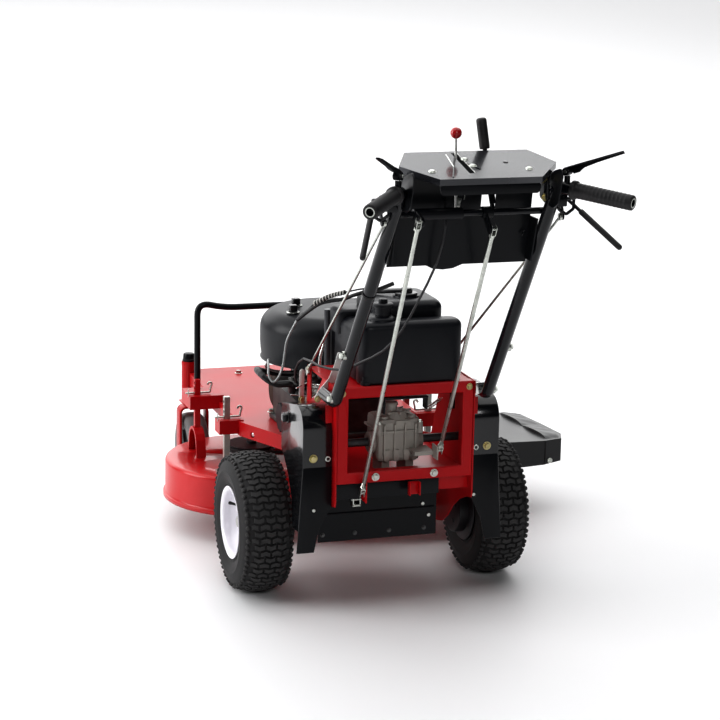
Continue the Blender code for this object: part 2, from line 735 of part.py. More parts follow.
def make_deck():
    pivot = empty("deck_float", (0, SPINDLE_LEFT[1], DECK_TOP), ROOT)
    rings = ((-EDGE_ROUND, DECK_TOP), (0.0, DECK_TOP - EDGE_ROUND),
             (0.0, DECK_BOTTOM + LIP_HEIGHT), (LIP, DECK_BOTTOM + LIP_HEIGHT - 0.003),
             (LIP, DECK_BOTTOM))
    bm = bmesh.new()
    loops = [[bm.verts.new((x, y, z)) for x, y in deck_outline(grow)] for grow, z in rings]
    bm.faces.new(loops[0])
    count = len(loops[0])
    for upper, lower in zip(loops, loops[1:]):
        for index in range(count):
            after = (index + 1) % count
            bm.faces.new((upper[index], lower[index], lower[after], upper[after]))
    deck = keep(mesh_from(bm, "deck_shell"), "deck_shell", RED_PAINT, pivot=pivot)
    deck.location = -Vector(pivot["at"])
    shell(deck, SHEET)
    discharge = box_at((DECK_RIGHT - 0.040, DISCHARGE_REAR + 0.005, DECK_BOTTOM - 0.01),
                       (DECK_RIGHT + 0.05, DECK_RIGHT_FRONT - 0.010, DECK_TOP - EDGE_ROUND - 0.004))
    bores = [drum_mesh((x, y, DECK_TOP - 0.02), (x, y, DECK_TOP + 0.02),
                       SPINDLE_RADIUS + SHAFT_GAP, 20) for x, y in (SPINDLE_LEFT, SPINDLE_RIGHT)]
    hinge = box_at((DECK_RIGHT - 0.030, DISCHARGE_REAR, DECK_TOP - 0.003),
                   (CHUTE_HINGE_X - CHUTE_BARREL - GAP, DECK_RIGHT_FRONT,
                    CHUTE_TOP - CHUTE_BARREL))
    fuse(deck, hinge, pivot=pivot)
    cut(deck, discharge, *bores, pivot=pivot)
    return pivot


def make_hangers(deck_pivot):
    foot = DECK_TOP + GAP
    for name, side in SIDES:
        x = side * HANGER_X["rear"]
        half = POST_SIZE / 2
        low = foot
        y = HANGER_REAR_Y[name]
        post = keep(box_at((x - half, y - half, low + 0.004), (x + half, y + half, POST_TOP_REAR)),
                    "deck_hanger_rear_" + name, ZINC_PLATE, pivot=deck_pivot)
        post.location = -Vector(deck_pivot["at"])
        base = box_at((x - 0.022, y - 0.022, low), (x + 0.022, y + 0.022, low + 0.006))
        fuse(post, base, pivot=deck_pivot)
        drill(post, x, y, BRACKET_REAR_TOP, POST_TOP_REAR, deck_pivot)

        x = side * HANGER_X["front"]
        wide = ARCH_WIDTH / 2
        top = foot + ARCH_HEIGHT
        y = HANGER_FRONT_Y[name]
        outer = [(y - wide - 0.006, foot), (y - wide, foot + 0.030)]
        outer += arc((y, top - wide), wide, 160, 20, 6) + [(y + wide, foot + 0.030),
                                                         (y + wide + 0.006, foot)]
        thick = 0.007
        inner = [(y + wide + 0.006 - thick, foot), (y + wide - thick, foot + 0.030)]
        inner += arc((y, top - wide), wide - thick, 20, 160, 6)
        inner += [(y - wide + thick, foot + 0.030), (y - wide - 0.006 + thick, foot)]
        strap = plate_mesh(outer + inner, 0.024, "YZ", x - 0.012, "arch")
        arch = keep(strap, "deck_hanger_front_" + name, RED_PAINT, pivot=deck_pivot)
        arch.location = -Vector(deck_pivot["at"])
        bar = box_at((x - half, y - half, top - 0.004), (x + half, y + half, POST_TOP_FRONT))
        fuse(arch, bar, pivot=deck_pivot)
        drill(arch, x, y, BRACKET_FRONT_TOP, POST_TOP_FRONT, deck_pivot)


def drill(post, x, y, level, top, pivot):
    """Height holes across a hanger post, the first one just above its bracket."""
    z = level + PIN_RADIUS + GAP
    while z < top - 0.006:
        cut(post, drum_mesh((x - 0.02, y, z), (x + 0.02, y, z), PIN_RADIUS + SHAFT_GAP, 10),
            pivot=pivot)
        z += PIN_HOLE_PITCH


def make_hitch_pins(deck_pivot):
    for end, places, level in (("rear", HANGER_REAR_Y, BRACKET_REAR_TOP),
                               ("front", HANGER_FRONT_Y, BRACKET_FRONT_TOP)):
        z = level + PIN_RADIUS + GAP
        for name, side in SIDES:
            y = places[name]
            middle = HANGER_X[end]
            at = (side * middle, y, z)
            label = "hitch_pin_" + end + "_" + name
            pivot = empty(label + "_slide", at, deck_pivot)
            tip = side * (middle + PIN_LENGTH / 2 - 0.004)
            tail = side * (middle - PIN_LENGTH / 2)
            route = rounded([(tip, y, z), (tail, y, z), (tail, y, z + 0.022)], 0.007, 3)
            swell = [0.45] + [1.0] * (len(route) - 1)
            first = Vector(route[0]).lerp(Vector(route[1]), 0.08)
            route.insert(1, first)
            swell.insert(1, 1.0)
            pin = keep(tube_mesh(route, PIN_RADIUS, 2, swell), label, ZINC_PLATE, pivot=pivot,
                       smooth=50)
            pin.location = -Vector(pivot["at"])


def make_spindles(deck_pivot):
    pulley_low = DECK_TOP + 0.016
    for name, (x, y) in (("left", SPINDLE_LEFT), ("right", SPINDLE_RIGHT)):
        at = (x, y, DECK_TOP)
        pivot = empty("spindle_" + name + "_spin", at, deck_pivot)
        low = BLADE_TOP + GAP - DECK_TOP
        groove = PULLEY_WIDTH / 2
        base = pulley_low - DECK_TOP
        profile = [(0.0, base + PULLEY_WIDTH + 0.006), (SPINDLE_RADIUS, base + PULLEY_WIDTH + 0.006),
                   (SPINDLE_RADIUS, base + PULLEY_WIDTH),
                   (SPINDLE_PULLEY_RADIUS, base + PULLEY_WIDTH),
                   (SPINDLE_PULLEY_RADIUS, base + PULLEY_WIDTH - 0.002),
                   (SPINDLE_PULLEY_RADIUS - BELT_THICKNESS, base + groove),
                   (SPINDLE_PULLEY_RADIUS, base + 0.002), (SPINDLE_PULLEY_RADIUS, base),
                   (0.024, base), (0.024, GAP), (SPINDLE_RADIUS, GAP),
                   (SPINDLE_RADIUS, low + 0.012), (0.026, low + 0.010), (0.026, low), (0.0, low)]
        turned("spindle_" + name, profile, DARK_STEEL, at, pivot, axis="Z", steps=18)
        mesh = blade_mesh(x, y)
        blade = keep(mesh, "blade_" + name, BARE_STEEL, pivot=pivot)
        blade.location = -Vector(pivot["at"])
    make_belt(deck_pivot, pulley_low + PULLEY_WIDTH / 2)


def blade_mesh(x, y):
    """A flat bar with clipped cutting corners, lying along the line of travel."""
    half = BLADE_LENGTH / 2
    wide = BLADE_WIDTH / 2
    outline = [(x + wide * 0.6, y - half), (x + wide, y - half + 0.020), (x + wide, y + half - 0.090),
               (x + wide * 0.75, y + half - 0.004), (x - wide * 0.6, y + half),
               (x - wide, y + half - 0.020), (x - wide, y - half + 0.090),
               (x - wide * 0.75, y - half + 0.004)]
    return plate_mesh(outline, BLADE_THICKNESS, "XY", BLADE_TOP - BLADE_THICKNESS, "blade")


def make_belt(deck_pivot, z):
    """One loop round both spindle pulleys, lying in their grooves."""
    ahead = Vector(SPINDLE_RIGHT) - Vector(SPINDLE_LEFT)
    lean = math.degrees(math.atan2(ahead.y, ahead.x))
    outer = SPINDLE_PULLEY_RADIUS + 0.001
    inner = SPINDLE_PULLEY_RADIUS - 0.003

    def loop(radius):
        return (arc(SPINDLE_LEFT, radius, 90 + lean, 270 + lean, 16)
                + arc(SPINDLE_RIGHT, radius, 270 + lean, 450 + lean, 16))

    mesh = plate_mesh(loop(outer), BELT_WIDTH, "XY", z - BELT_WIDTH / 2, "spindle_belt",
                      [loop(inner)])
    belt = keep(mesh, "spindle_belt", BELT_RUBBER, pivot=deck_pivot)
    belt.location = -Vector(deck_pivot["at"])


def make_chute(deck_pivot):
    """A hinged deflector: flat top over the outlet, a raised molded end, and skirt walls."""
    x = CHUTE_HINGE_X
    pivot = empty("chute_hinge", (x, DISCHARGE_REAR, CHUTE_TOP - CHUTE_BARREL), deck_pivot)
    outline = [(x, 0.400), (0.585, 0.392), (0.636, 0.406), (0.652, 0.448), (0.640, 0.560),
               (0.624, 0.664), (0.588, 0.694), (x, 0.640)]
    bm = bmesh.new()
    top = [bm.verts.new((px, py, CHUTE_TOP)) for px, py in outline]
    low = [bm.verts.new((px, py, CHUTE_LOW + 0.075 * (px - x))) for px, py in outline]
    bm.faces.new(top)
    for index in range(len(top) - 1):
        bm.faces.new((top[index], low[index], low[index + 1], top[index + 1]))
    chute = keep(mesh_from(bm, "chute_deflector"), "chute_deflector", BLACK_PLASTIC, pivot=pivot)
    chute.location = -Vector(pivot["at"])
    shell(chute, CHUTE_SHEET)
    level = CHUTE_TOP - CHUTE_BARREL
    barrel = drum_mesh((x, 0.405, level), (x, 0.600, level), CHUTE_BARREL, 12)
    fuse(chute, barrel, pivot=pivot)


# Engine group
def make_engine():
    x, y = ENGINE_X, ENGINE_Y
    low = CARRIER_TOP + GAP
    wide, deep = BLOCK_SIZE
    block = keep(box_at((x - wide / 2, y - deep / 2, low), (x + wide / 2, y + deep / 2, 0.395)),
                 "engine_block", DARK_STEEL)
    fins = []
    for index in range(5):
        z = 0.400 + index * 0.015
        fins.append(box_at((x - 0.070, y - 0.100, z), (x + 0.130, y + 0.100, z + 0.006)))
    core = box_at((x - 0.055, y - 0.085, 0.390), (x + 0.115, y + 0.085, SHROUD_BOTTOM - GAP))
    filter_neck = drum_mesh((x - 0.135, y - 0.060, 0.350), (x - 0.060, y - 0.060, 0.350), 0.030, 16)
    fuse(block, core, *fins, filter_neck)

    height = SHROUD_TOP - SHROUD_BOTTOM
    rim = [(SHROUD_RADIUS - SHROUD_ROUND + SHROUD_ROUND * math.sin(math.radians(a)),
            height - SHROUD_ROUND + SHROUD_ROUND * math.cos(math.radians(a)))
           for a in (0, 30, 60, 90)]
    profile = [(0.0, height)] + rim
    profile += [(SHROUD_RADIUS, 0.020), (SHROUD_RADIUS - 0.006, 0.0), (0.0, 0.0)]
    turned("engine_shroud", profile, BLACK_PLASTIC, (x, y, SHROUD_BOTTOM), ROOT, axis="Z",
           steps=32)
    for label, dx, dy in (("front", -0.075, 0.030), ("rear", -0.103, -0.044)):
        at = (x + dx, y + dy, SHROUD_TOP)
        pivot = empty("knob_" + label, at, ROOT)
        washer = drum_mesh((0, 0, GAP), (0, 0, GAP + 0.003), KNOB_SIZE * 0.72, 16)
        knob = keep(washer, "air_cleaner_knob_" + label, BLACK_PLASTIC, at=at, pivot=pivot)
        head = box_mesh((KNOB_SIZE, KNOB_SIZE, KNOB_HEIGHT), (0, 0, GAP + KNOB_HEIGHT / 2 + 0.001))
        head.transform(Matrix.Translation(Vector(at)))
        fuse(knob, head)

    span = MUFFLER_LENGTH / 2
    my = y + deep / 2 + MUFFLER_RADIUS + GAP
    muffler = keep(drum_mesh((x - span, my, 0.362), (x + span, my, 0.362), MUFFLER_RADIUS, 24),
                   "muffler", DARK_STEEL, smooth=40)
    bevel(muffler, 0.006, 2)
    outlet = drum_mesh((x + span - 0.030, my + 0.020, 0.362), (x + span - 0.030, my + 0.075, 0.350),
                       0.012, 14)
    fuse(muffler, outlet)


def pulley_profile(radius, width, hub_low, hub_high, shaft):
    """A grooved pulley round its own middle plane, on a solid shaft."""
    half = width / 2
    return [(0.0, hub_high), (shaft, hub_high), (shaft, half), (radius, half),
            (radius, half - 0.002), (radius - BELT_THICKNESS, 0.0), (radius, -half + 0.002),
            (radius, -half), (shaft, -half), (shaft, hub_low), (0.0, hub_low)]


def make_engine_pulley():
    at = (ENGINE_X, ENGINE_Y, CRANK_PULLEY_BOTTOM + PULLEY_WIDTH / 2)
    pivot = empty("crank_spin", at, ROOT)
    reach = CARRIER_TOP - at[2]
    turned("engine_pulley", pulley_profile(CRANK_PULLEY_RADIUS, PULLEY_WIDTH, -0.014, reach,
                                           CRANK_RADIUS), DARK_STEEL, at, pivot, axis="Z", steps=20)


def make_gearbox():
    y = GEARBOX_Y
    low = CARRIER_TOP + GAP
    half = GEARBOX_WIDTH / 2
    deep = GEARBOX_DEPTH / 2
    box = keep(box_at((-half, y - deep + 0.012, 0.335), (half, y + deep, GEARBOX_TOP - 0.012)), "gearbox",
               CAST_ALUMINIUM)
    bevel(box, 0.010, 2)
    dome = drum_mesh((0, y - 0.002, GEARBOX_TOP - 0.020), (0, y - 0.002, GEARBOX_TOP), 0.038, 20, 0.026)
    neck = drum_mesh((-0.010, y - 0.006, GEARBOX_TOP - 0.004), (-0.010, y - 0.006, GEARBOX_TOP + 0.020),
                     0.013, 16)
    bosses = [drum_mesh((side * 0.040, y, SHAFT_Z), (side * 0.062, y, SHAFT_Z), 0.028, 20, 0.022)
              for _, side in SIDES]
    feet = [box_at((side * 0.028 - 0.009, y - 0.028, low), (side * 0.028 + 0.009, y + 0.036, 0.350))
            for _, side in SIDES]
    ribs = [box_at((x - 0.002, y - deep + 0.006, 0.350), (x + 0.002, y - 0.020, GEARBOX_TOP - 0.024))
            for x in (-0.036, -0.012, 0.012, 0.036)]
    fuse(box, dome, neck, *bosses, *feet, *ribs)
    end_x = control_rod_x("right", "low")
    tab_x = end_x - ROD_EYE / 2 - GAP
    arm = box_at((0.022, y - 0.080, 0.358), (tab_x - SHEET / 2, y - 0.026, 0.366))
    tab = box_at((tab_x - SHEET, y - 0.104, 0.352), (tab_x, y - 0.070, 0.382))
    fuse(box, arm, tab)
    bore = drum_mesh((-0.1, y, SHAFT_Z), (0.1, y, SHAFT_Z), OUTPUT_RADIUS + SHAFT_GAP, 20)
    cut(box, bore)


def make_output_shaft():
    y = GEARBOX_Y
    at = (0, y, SHAFT_Z)
    pivot = empty("output_spin", at, ROOT)
    start = FRAME_HALF_WIDTH + SHEET + 0.006
    end = start + 0.016
    radius = OUTPUT_RADIUS
    profile = []
    for side in (1, -1):
        edge = OUTPUT_PULLEY_RADIUS
        ring = [(edge, end), (edge, end - 0.002), (edge - 0.006, (start + end) / 2),
                (edge, start + 0.002), (edge, start), (radius, start)]
        if side > 0:
            profile += [(0.0, end)] + ring
        else:
            profile += [(r, -h) for r, h in reversed(ring)] + [(0.0, -end)]
    turned("gearbox_output_shaft", profile, DARK_STEEL, at, pivot, steps=16)


# Fuel tank with its cap
def make_tank():
    low = FRAME_TOP + GAP
    half = TANK_HALF_WIDTH
    body = keep(box_at((-half, TANK_REAR, low), (half, TANK_FRONT, TANK_SHOULDER)), "fuel_tank",
                BLACK_PLASTIC)
    bevel(body, 0.018, 3)
    hump = box_at((-0.078, TANK_REAR + 0.060, TANK_SHOULDER - 0.050),
                  (0.100, TANK_FRONT - 0.002, TANK_TOP))
    hump_obj = keep(hump, "tank_hump", BLACK_PLASTIC, cutter=True)
    bevel(hump_obj, 0.020, 3)
    step = body.modifiers.new("hump", 'BOOLEAN')
    step.operation = 'UNION'
    step.object = hump_obj
    neck = drum_mesh((0.040, -0.080, TANK_TOP - 0.010), (0.040, -0.080, TANK_TOP + 0.004), 0.020, 20)
    gauge = drum_mesh((-0.058, -0.165, TANK_SHOULDER - 0.01), (-0.058, -0.165, TANK_TOP + 0.002),
                      0.017, 16, 0.016)
    fuse(body, neck, gauge)
    at = (0.040, -0.080, TANK_TOP + 0.004)
    pivot = empty("cap_turn", at, ROOT)
    cap_profile = [(0.0, 0.016), (0.012, 0.016), (0.014, 0.013), (0.024, 0.012), (0.026, 0.009),
                   (0.026, GAP), (0.0, GAP)]
    turned("fuel_cap", cap_profile, BLACK_PLASTIC, at, pivot, axis="Z", steps=24)


# Handle, grips and console
def handle_points(side):
    return mirrored([(HANDLE_FOOT_X, HANDLE_FOOT_FRONT, HANDLE_FOOT_Z),
                     (HANDLE_FOOT_X, HANDLE_HEEL_Y, HANDLE_FOOT_Z),
                     (HANDLE_HEAD_X, HANDLE_HEAD_Y, HANDLE_HEAD_Z), GRIP_END], side)


def lever_pivot(side):
    return Vector((side * 0.2000, -0.575, HANDLE_HEAD_Z - 0.030))


def presence_pivot(side):
    return Vector((side * 0.1765, -0.6445, HANDLE_HEAD_Z + 0.032))


def make_handle():
    """Two bent tubes, joined by the cross shaft that the console levers turn on."""
    tubes = []
    for name, side in SIDES:
        foot, heel, head, end = [Vector(p) for p in handle_points(side)]
        route = rounded([foot, heel, head, end], 0.030, 4)[:-1]
        swell = [1.0] * len(route)
        thin = GRIP_CORE / HANDLE_RADIUS
        ahead = (end - head).normalized()
        route += [head + ahead * 0.030, head + ahead * 0.032, end]
        swell += [1.0, thin, thin]
        tubes.append(tube_mesh(route, HANDLE_RADIUS, 3, swell, "handle_tube_" + name))
    frame = keep(tubes[0], "handle_frame", BLACK_PAINT, smooth=45)
    reach = handle_x(SHAFT_Y)
    added = [tubes[1], drum_mesh((-reach, SHAFT_Y, LEVER_SHAFT_Z), (reach, SHAFT_Y, LEVER_SHAFT_Z),
                                 LEVER_SHAFT_RADIUS, 16)]
    for _, side in SIDES:
        pivot = lever_pivot(side)
        ends = sorted((side * (HANDLE_HEAD_X + 0.004), side * (LEVER_FACE_X - GAP)))
        added.append(box_at((ends[0], -0.622, pivot.z - 0.013),
                            (ends[1], pivot.y + 0.012, pivot.z + 0.013)))
        post = presence_pivot(side)
        added.append(drum_mesh((post.x, post.y, post.z - 0.037), (post.x, post.y, post.z - 0.008 - GAP),
                               0.006, 12))
        ends = sorted((side * 0.1465, side * 0.1512))
        rest = CONSOLE_Z - 0.0026 + (-0.618 - CONSOLE_Y) * math.tan(CONSOLE_TILT)
        added.append(box_at((ends[0], -0.618, pivot.z), (ends[1], -0.598, rest - GAP)))
    fuse(frame, *added)


def handle_height(y):
    """Height of the handle tubes' straight run at a place along the mower."""
    share = (y - HANDLE_HEEL_Y) / (HANDLE_HEAD_Y - HANDLE_HEEL_Y)
    return HANDLE_FOOT_Z + share * (HANDLE_HEAD_Z - HANDLE_FOOT_Z)


def handle_x(y):
    share = (y - HANDLE_HEEL_Y) / (HANDLE_HEAD_Y - HANDLE_HEEL_Y)
    return HANDLE_FOOT_X + share * (HANDLE_HEAD_X - HANDLE_FOOT_X)


def make_grips():
    for name, side in SIDES:
        _, _, head, end = [Vector(p) for p in handle_points(side)]
        ahead = (end - head).normalized()
        start = head + ahead * 0.033
        length = (end - start).length + 0.002
        bore = GRIP_CORE + GAP
        profile = [(GRIP_RADIUS - 0.002, length), (GRIP_RADIUS, length - 0.003),
                   (GRIP_RADIUS, 0.012), (GRIP_RADIUS + 0.003, 0.010), (GRIP_RADIUS + 0.003, 0.0),
                   (bore, 0.0), (bore, length)]
        grip = turned("grip_" + name, profile, RUBBER, start, ROOT, axis="Z", steps=20)
        grip.rotation_euler = Vector((0, 0, 1)).rotation_difference(ahead).to_euler()


def console_point(x, y, z=0.0):
    """A point of the tilted console plate in the working frame."""
    turn = Matrix.Rotation(CONSOLE_TILT, 4, 'X')
    return Vector((0, CONSOLE_Y, CONSOLE_Z)) + turn @ Vector((x, y, z))


def console_outline():
    right = [(0.106, -0.079), (CONSOLE_HALF_WIDTH, -0.002), (0.130, 0.072)]
    return right + [(-x, y) for x, y in reversed(right)]


def make_console():
    bm = bmesh.new()
    top = [bm.verts.new((x, y, 0)) for x, y in console_outline()]
    low = [bm.verts.new((x, y, -CONSOLE_SKIRT)) for x, y in console_outline()]
    bm.faces.new(top)
    for index in range(len(top)):
        after = (index + 1) % len(top)
        bm.faces.new((top[index], low[index], low[after], top[after]))
    mesh = mesh_from(bm, "console_plate")
    at = console_point(0, 0)
    plate = keep(mesh, "console_plate", BLACK_PAINT, at=at)
    plate.rotation_euler = (CONSOLE_TILT, 0, 0)
    shell(plate, 0.0025)
    slot = box_mesh((0.011, 0.112, 0.04), (BLADE_LEVER_X, 0.006, 0))
    branch = box_mesh((0.008, 0.050, 0.04), (0, 0, 0))
    branch.transform(Matrix.Translation((BLADE_LEVER_X + 0.012, -0.010, 0))
                     @ Matrix.Rotation(math.radians(28), 4, 'Z'))
    for cutter in (slot, branch):
        cutter.transform(Matrix.Translation(at) @ Matrix.Rotation(CONSOLE_TILT, 4, 'X'))
    cut(plate, slot, branch)


def panel_y(z):
    """Where the apron's middle plane lies at a height."""
    share = (z - PANEL_BOTTOM) / (PANEL_TOP - PANEL_BOTTOM)
    return PANEL_LOW_Y + share * (PANEL_HIGH_Y - PANEL_LOW_Y)


def make_console_panel():
    """The apron that hangs between the handle tubes, with a cheek at each end."""
    low, high = PANEL_BOTTOM, PANEL_TOP
    half = PANEL_HALF_WIDTH - 0.0015
    left_top = [(-0.126, high), (-0.126, high - 0.112), (-half, high - 0.123), (-half, low)]
    right_top = [(half, low), (half, high - 0.028), (0.124, high - 0.010), (0.124, high)]
    bulge = [(-0.066, low), (-0.052, low - 0.007), (-0.030, low - 0.010), (-0.008, low - 0.008),
             (0.012, low)]
    outline = left_top + bulge + right_top
    bm = bmesh.new()
    bm.faces.new([bm.verts.new((x, panel_y(z), z)) for x, z in outline])
    panel = keep(mesh_from(bm, "console_panel"), "console_panel", BLACK_PAINT)
    shell(panel, PANEL_SHEET, offset=0.0)
    added = []
    for _, side in SIDES:
        top, foot = high - 0.128, low + 0.006
        cheek = [(panel_y(foot), foot), (panel_y(top), top), (panel_y(top) - 0.042, top),
                 (panel_y(foot) - 0.030, foot)]
        start = side * (PANEL_HALF_WIDTH - 0.0015) - 0.0015
        added.append(plate_mesh(cheek, 0.003, "YZ", start, "cheek"))
    fuse(panel, *added)
    notch = box_at((SHIFT_LEVER_X - 0.010, -0.580, high - 0.106),
                   (SHIFT_LEVER_X + 0.021, -0.500, high + 0.022))
    cut(panel, notch)


def control_rod_x(name, end="high"):
    across = {"left": {"high": -0.1225, "low": -0.1020}, "right": {"high": 0.0390, "low": 0.0740}}
    return across[name][end]


def control_rod_ends(name):
    """Upper and lower ends of a centre control rod; the upper end lies on its lever's arm."""
    low = {"left": Vector((0, FRAME_REAR - 0.010, 0.285)),
           "right": Vector((0, GEARBOX_Y - 0.096, 0.372))}[name]
    run = Vector((0, low.y - SHAFT_Y, low.z - LEVER_SHAFT_Z)).normalized()
    square = Vector((0, run.z, -run.y))
    lead = {"left": math.radians(-17), "right": math.radians(10)}[name]
    arm = Matrix.Rotation(lead, 3, 'X') @ square
    high = Vector((0, SHAFT_Y, LEVER_SHAFT_Z)) + arm * ARM
    high.x = control_rod_x(name)
    low.x = control_rod_x(name, "low")
    return high, low


def make_control_levers():
    shaft = Vector((0, SHAFT_Y, LEVER_SHAFT_Z))
    specs = {"left": ("blade_lever", BLADE_LEVER_X), "right": ("shift_lever", SHIFT_LEVER_X)}
    for name, (label, x) in specs.items():
        pivot = empty(label + "_pivot", (x, SHAFT_Y, LEVER_SHAFT_Z), ROOT)
        rod_x = control_rod_x(name)
        arm_x = rod_x + (ROD_EYE / 2 + GAP + 0.002) * (1 if name == "left" else -1)
        ends = sorted((x + (0.010 if name == "left" else -0.010), arm_x))
        hub_mesh = drum_mesh((ends[0] - 0.004, SHAFT_Y, LEVER_SHAFT_Z),
                             (ends[1] + 0.004 * (name == "right") + 0.004, SHAFT_Y, LEVER_SHAFT_Z),
                             HUB_OUTER, 18)
        lever = keep(hub_mesh, label, BLACK_PAINT, pivot=pivot)
        lever.location = -Vector(pivot["at"])
        high, _ = control_rod_ends(name)
        out = (high - shaft)
        out.x = 0
        out.normalize()
        side_dir = Vector((0, -out.z, out.y)) * 0.009
        tip = shaft + out * (ARM + 0.010)
        arm_outline = [(shaft - out * 0.004 + side_dir * 1.1), (tip + side_dir),
                       (tip - side_dir), (shaft - out * 0.004 - side_dir * 1.1)]
        start = arm_x - 0.002
        arm = plate_mesh([(p.y, p.z) for p in arm_outline], 0.004, "YZ", start, "arm")
        if name == "left":
            foot = console_point(x, 0.052, 0)
            top = foot + Vector((0.002, 0.004, 0.036))
            stalk = drum_mesh((x, SHAFT_Y, LEVER_SHAFT_Z), top, 0.003, 10)
            knob = ball_mesh(top + Vector((0.0004, 0.0003, BALL_RADIUS * 0.6)), BALL_RADIUS)
            fuse(lever, arm, stalk, knob, pivot=pivot)
        else:
            knee = Vector((x + 0.002, -0.522, LEVER_SHAFT_Z + 0.092))
            head = Vector((x - 0.009, -0.514, LEVER_SHAFT_Z + 0.178))
            bar = tube_mesh(rounded([Vector((x, SHAFT_Y, LEVER_SHAFT_Z)), knee, head], 0.02, 3),
                            0.0045, 2)
            grip_start = knee.lerp(head, 0.32)
            grip = drum_mesh(grip_start, head + (head - knee).normalized() * 0.004, 0.0085, 16)
            fuse(lever, arm, bar, grip, pivot=pivot)
        bore = drum_mesh((ends[0] - 0.03, SHAFT_Y, LEVER_SHAFT_Z),
                         (ends[1] + 0.03, SHAFT_Y, LEVER_SHAFT_Z), LEVER_SHAFT_RADIUS + SHAFT_GAP, 18)
        cut(lever, bore, pivot=pivot)


def make_control_rods():
    for name in ("left", "right"):
        high, low = control_rod_ends(name)
        pivot = empty("control_rod_" + name + "_slide", high, ROOT)
        run = (low - high).normalized()
        mesh = drum_mesh(high + run * 0.006, low - run * 0.006, ROD_RADIUS, 12)
        rod = keep(mesh, "control_rod_" + name, ZINC_PLATE, pivot=pivot, smooth=50)
        rod.location = -Vector(pivot["at"])
        shape = []
        for centre in (high, low):
            mid = centre
            shape.append(box_at((mid.x - ROD_EYE / 2, mid.y - 0.008, mid.z - 0.012),
                                (mid.x + ROD_EYE / 2, mid.y + 0.008, mid.z + 0.012)))
        fuse(rod, *shape, pivot=pivot)


def side_rod_start(side):
    """Where a side rod meets its drive lever's arm."""
    pivot = lever_pivot(side)
    low = side_rod_end(side)
    run = Vector((0, low.y - pivot.y, low.z - pivot.z)).normalized()
    square = Vector((0, run.z, -run.y))
    arm = Matrix.Rotation(math.radians(12), 3, 'X') @ square
    made = pivot + arm * 0.042
    made.x = side * (LEVER_FACE_X - GAP - SIDE_EYE / 2)
    return made


def side_rod_end(side):
    return Vector((side * (FRAME_HALF_WIDTH + SHEET + 3 * GAP + SIDE_EYE / 2), -0.003, 0.512))


def make_drive_levers():
    for name, side in SIDES:
        at = lever_pivot(side)
        pivot = empty("drive_lever_" + name + "_pivot", at, ROOT)
        tip = Vector((side * 0.268, -0.712, at.z - 0.085))
        root = at + Vector((side * 0.002, 0, 0))
        route = [root]
        swell = [1.0]
        for share, width in ((0.28, 1.0), (0.30, 1.6), (0.97, 1.6), (1.0, 1.0)):
            route.append(root.lerp(tip, share))
            swell.append(width)
        face = Vector((side * LEVER_FACE_X, at.y, at.z))
        hub = drum_mesh(face, at + Vector((side * 0.005, 0, 0)), 0.0085, 16)
        lever = keep(hub, "drive_lever_" + name, BLACK_PAINT, pivot=pivot)
        lever.location = -Vector(pivot["at"])
        bar = tube_mesh(route, 0.0036, 2, swell)
        start = side_rod_start(side)
        out = start - at
        out.x = 0
        out.normalize()
        square = Vector((0, -out.z, out.y)) * 0.007
        tip_arm = Vector((0, start.y, start.z)) + out * 0.007
        root = Vector((0, at.y, at.z))
        outline = [root + square, tip_arm + square, tip_arm - square, root - square]
        arm_start = min(side * LEVER_FACE_X, side * (LEVER_FACE_X + 0.003))
        arm = plate_mesh([(p.y, p.z) for p in outline], 0.003, "YZ", arm_start, "arm")
        fuse(lever, bar, arm, pivot=pivot)


def make_side_rods():
    for name, side in SIDES:
        high = side_rod_start(side)
        low = side_rod_end(side)
        pivot = empty("side_rod_" + name + "_slide", high, ROOT)
        run = (low - high).normalized()
        rod = keep(drum_mesh(high + run * 0.005, low - run * 0.006, SIDE_ROD_RADIUS, 10),
                   "side_rod_" + name, ZINC_PLATE, pivot=pivot, smooth=50)
        rod.location = -Vector(pivot["at"])
        added = []
        for centre, span in ((high, 0.008), (low, 0.010)):
            added.append(box_at((centre.x - SIDE_EYE / 2, centre.y - span, centre.z - span),
                                (centre.x + SIDE_EYE / 2, centre.y + span, centre.z + span)))
        fuse(rod, *added, pivot=pivot)


def make_presence_levers():
    for name, side in SIDES:
        at = presence_pivot(side)
        pivot = empty("presence_lever_" + name + "_pivot", at, ROOT)
        tip = Vector((side * 0.2525, -0.743, at.z + 0.044))
        ahead = tip - at
        flat = Vector((ahead.x, ahead.y, 0)).normalized()
        square = Vector((flat.y, -flat.x, 0))
        hub = drum_mesh(at - square * 0.009, at + square * 0.009, 0.008, 16)
        lever = keep(hub, "presence_lever_" + name, BLACK_PAINT, pivot=pivot)
        lever.location = -Vector(pivot["at"])
        bm = bmesh.new()
        rise = ahead.normalized()
        lift = square.cross(rise).normalized()
        if lift.z < 0:
            lift = -lift
        base = at + lift * 0.0055
        corners = [(0.0, 0.009), (0.030, 0.011), (0.060, 0.007), (ahead.length, 0.0055)]
        left = [bm.verts.new(base + rise * d - square * w) for d, w in corners]
        right = [bm.verts.new(base + rise * d + square * w) for d, w in corners]
        for index in range(len(corners) - 1):
            bm.faces.new((left[index], left[index + 1], right[index + 1], right[index]))
        made = bmesh.ops.extrude_face_region(bm, geom=list(bm.faces))
        moved = [v for v in made["geom"] if isinstance(v, bmesh.types.BMVert)]
        bmesh.ops.translate(bm, vec=lift * 0.003, verts=moved)
        strip = mesh_from(bm, "strip")
        fuse(lever, strip, pivot=pivot)


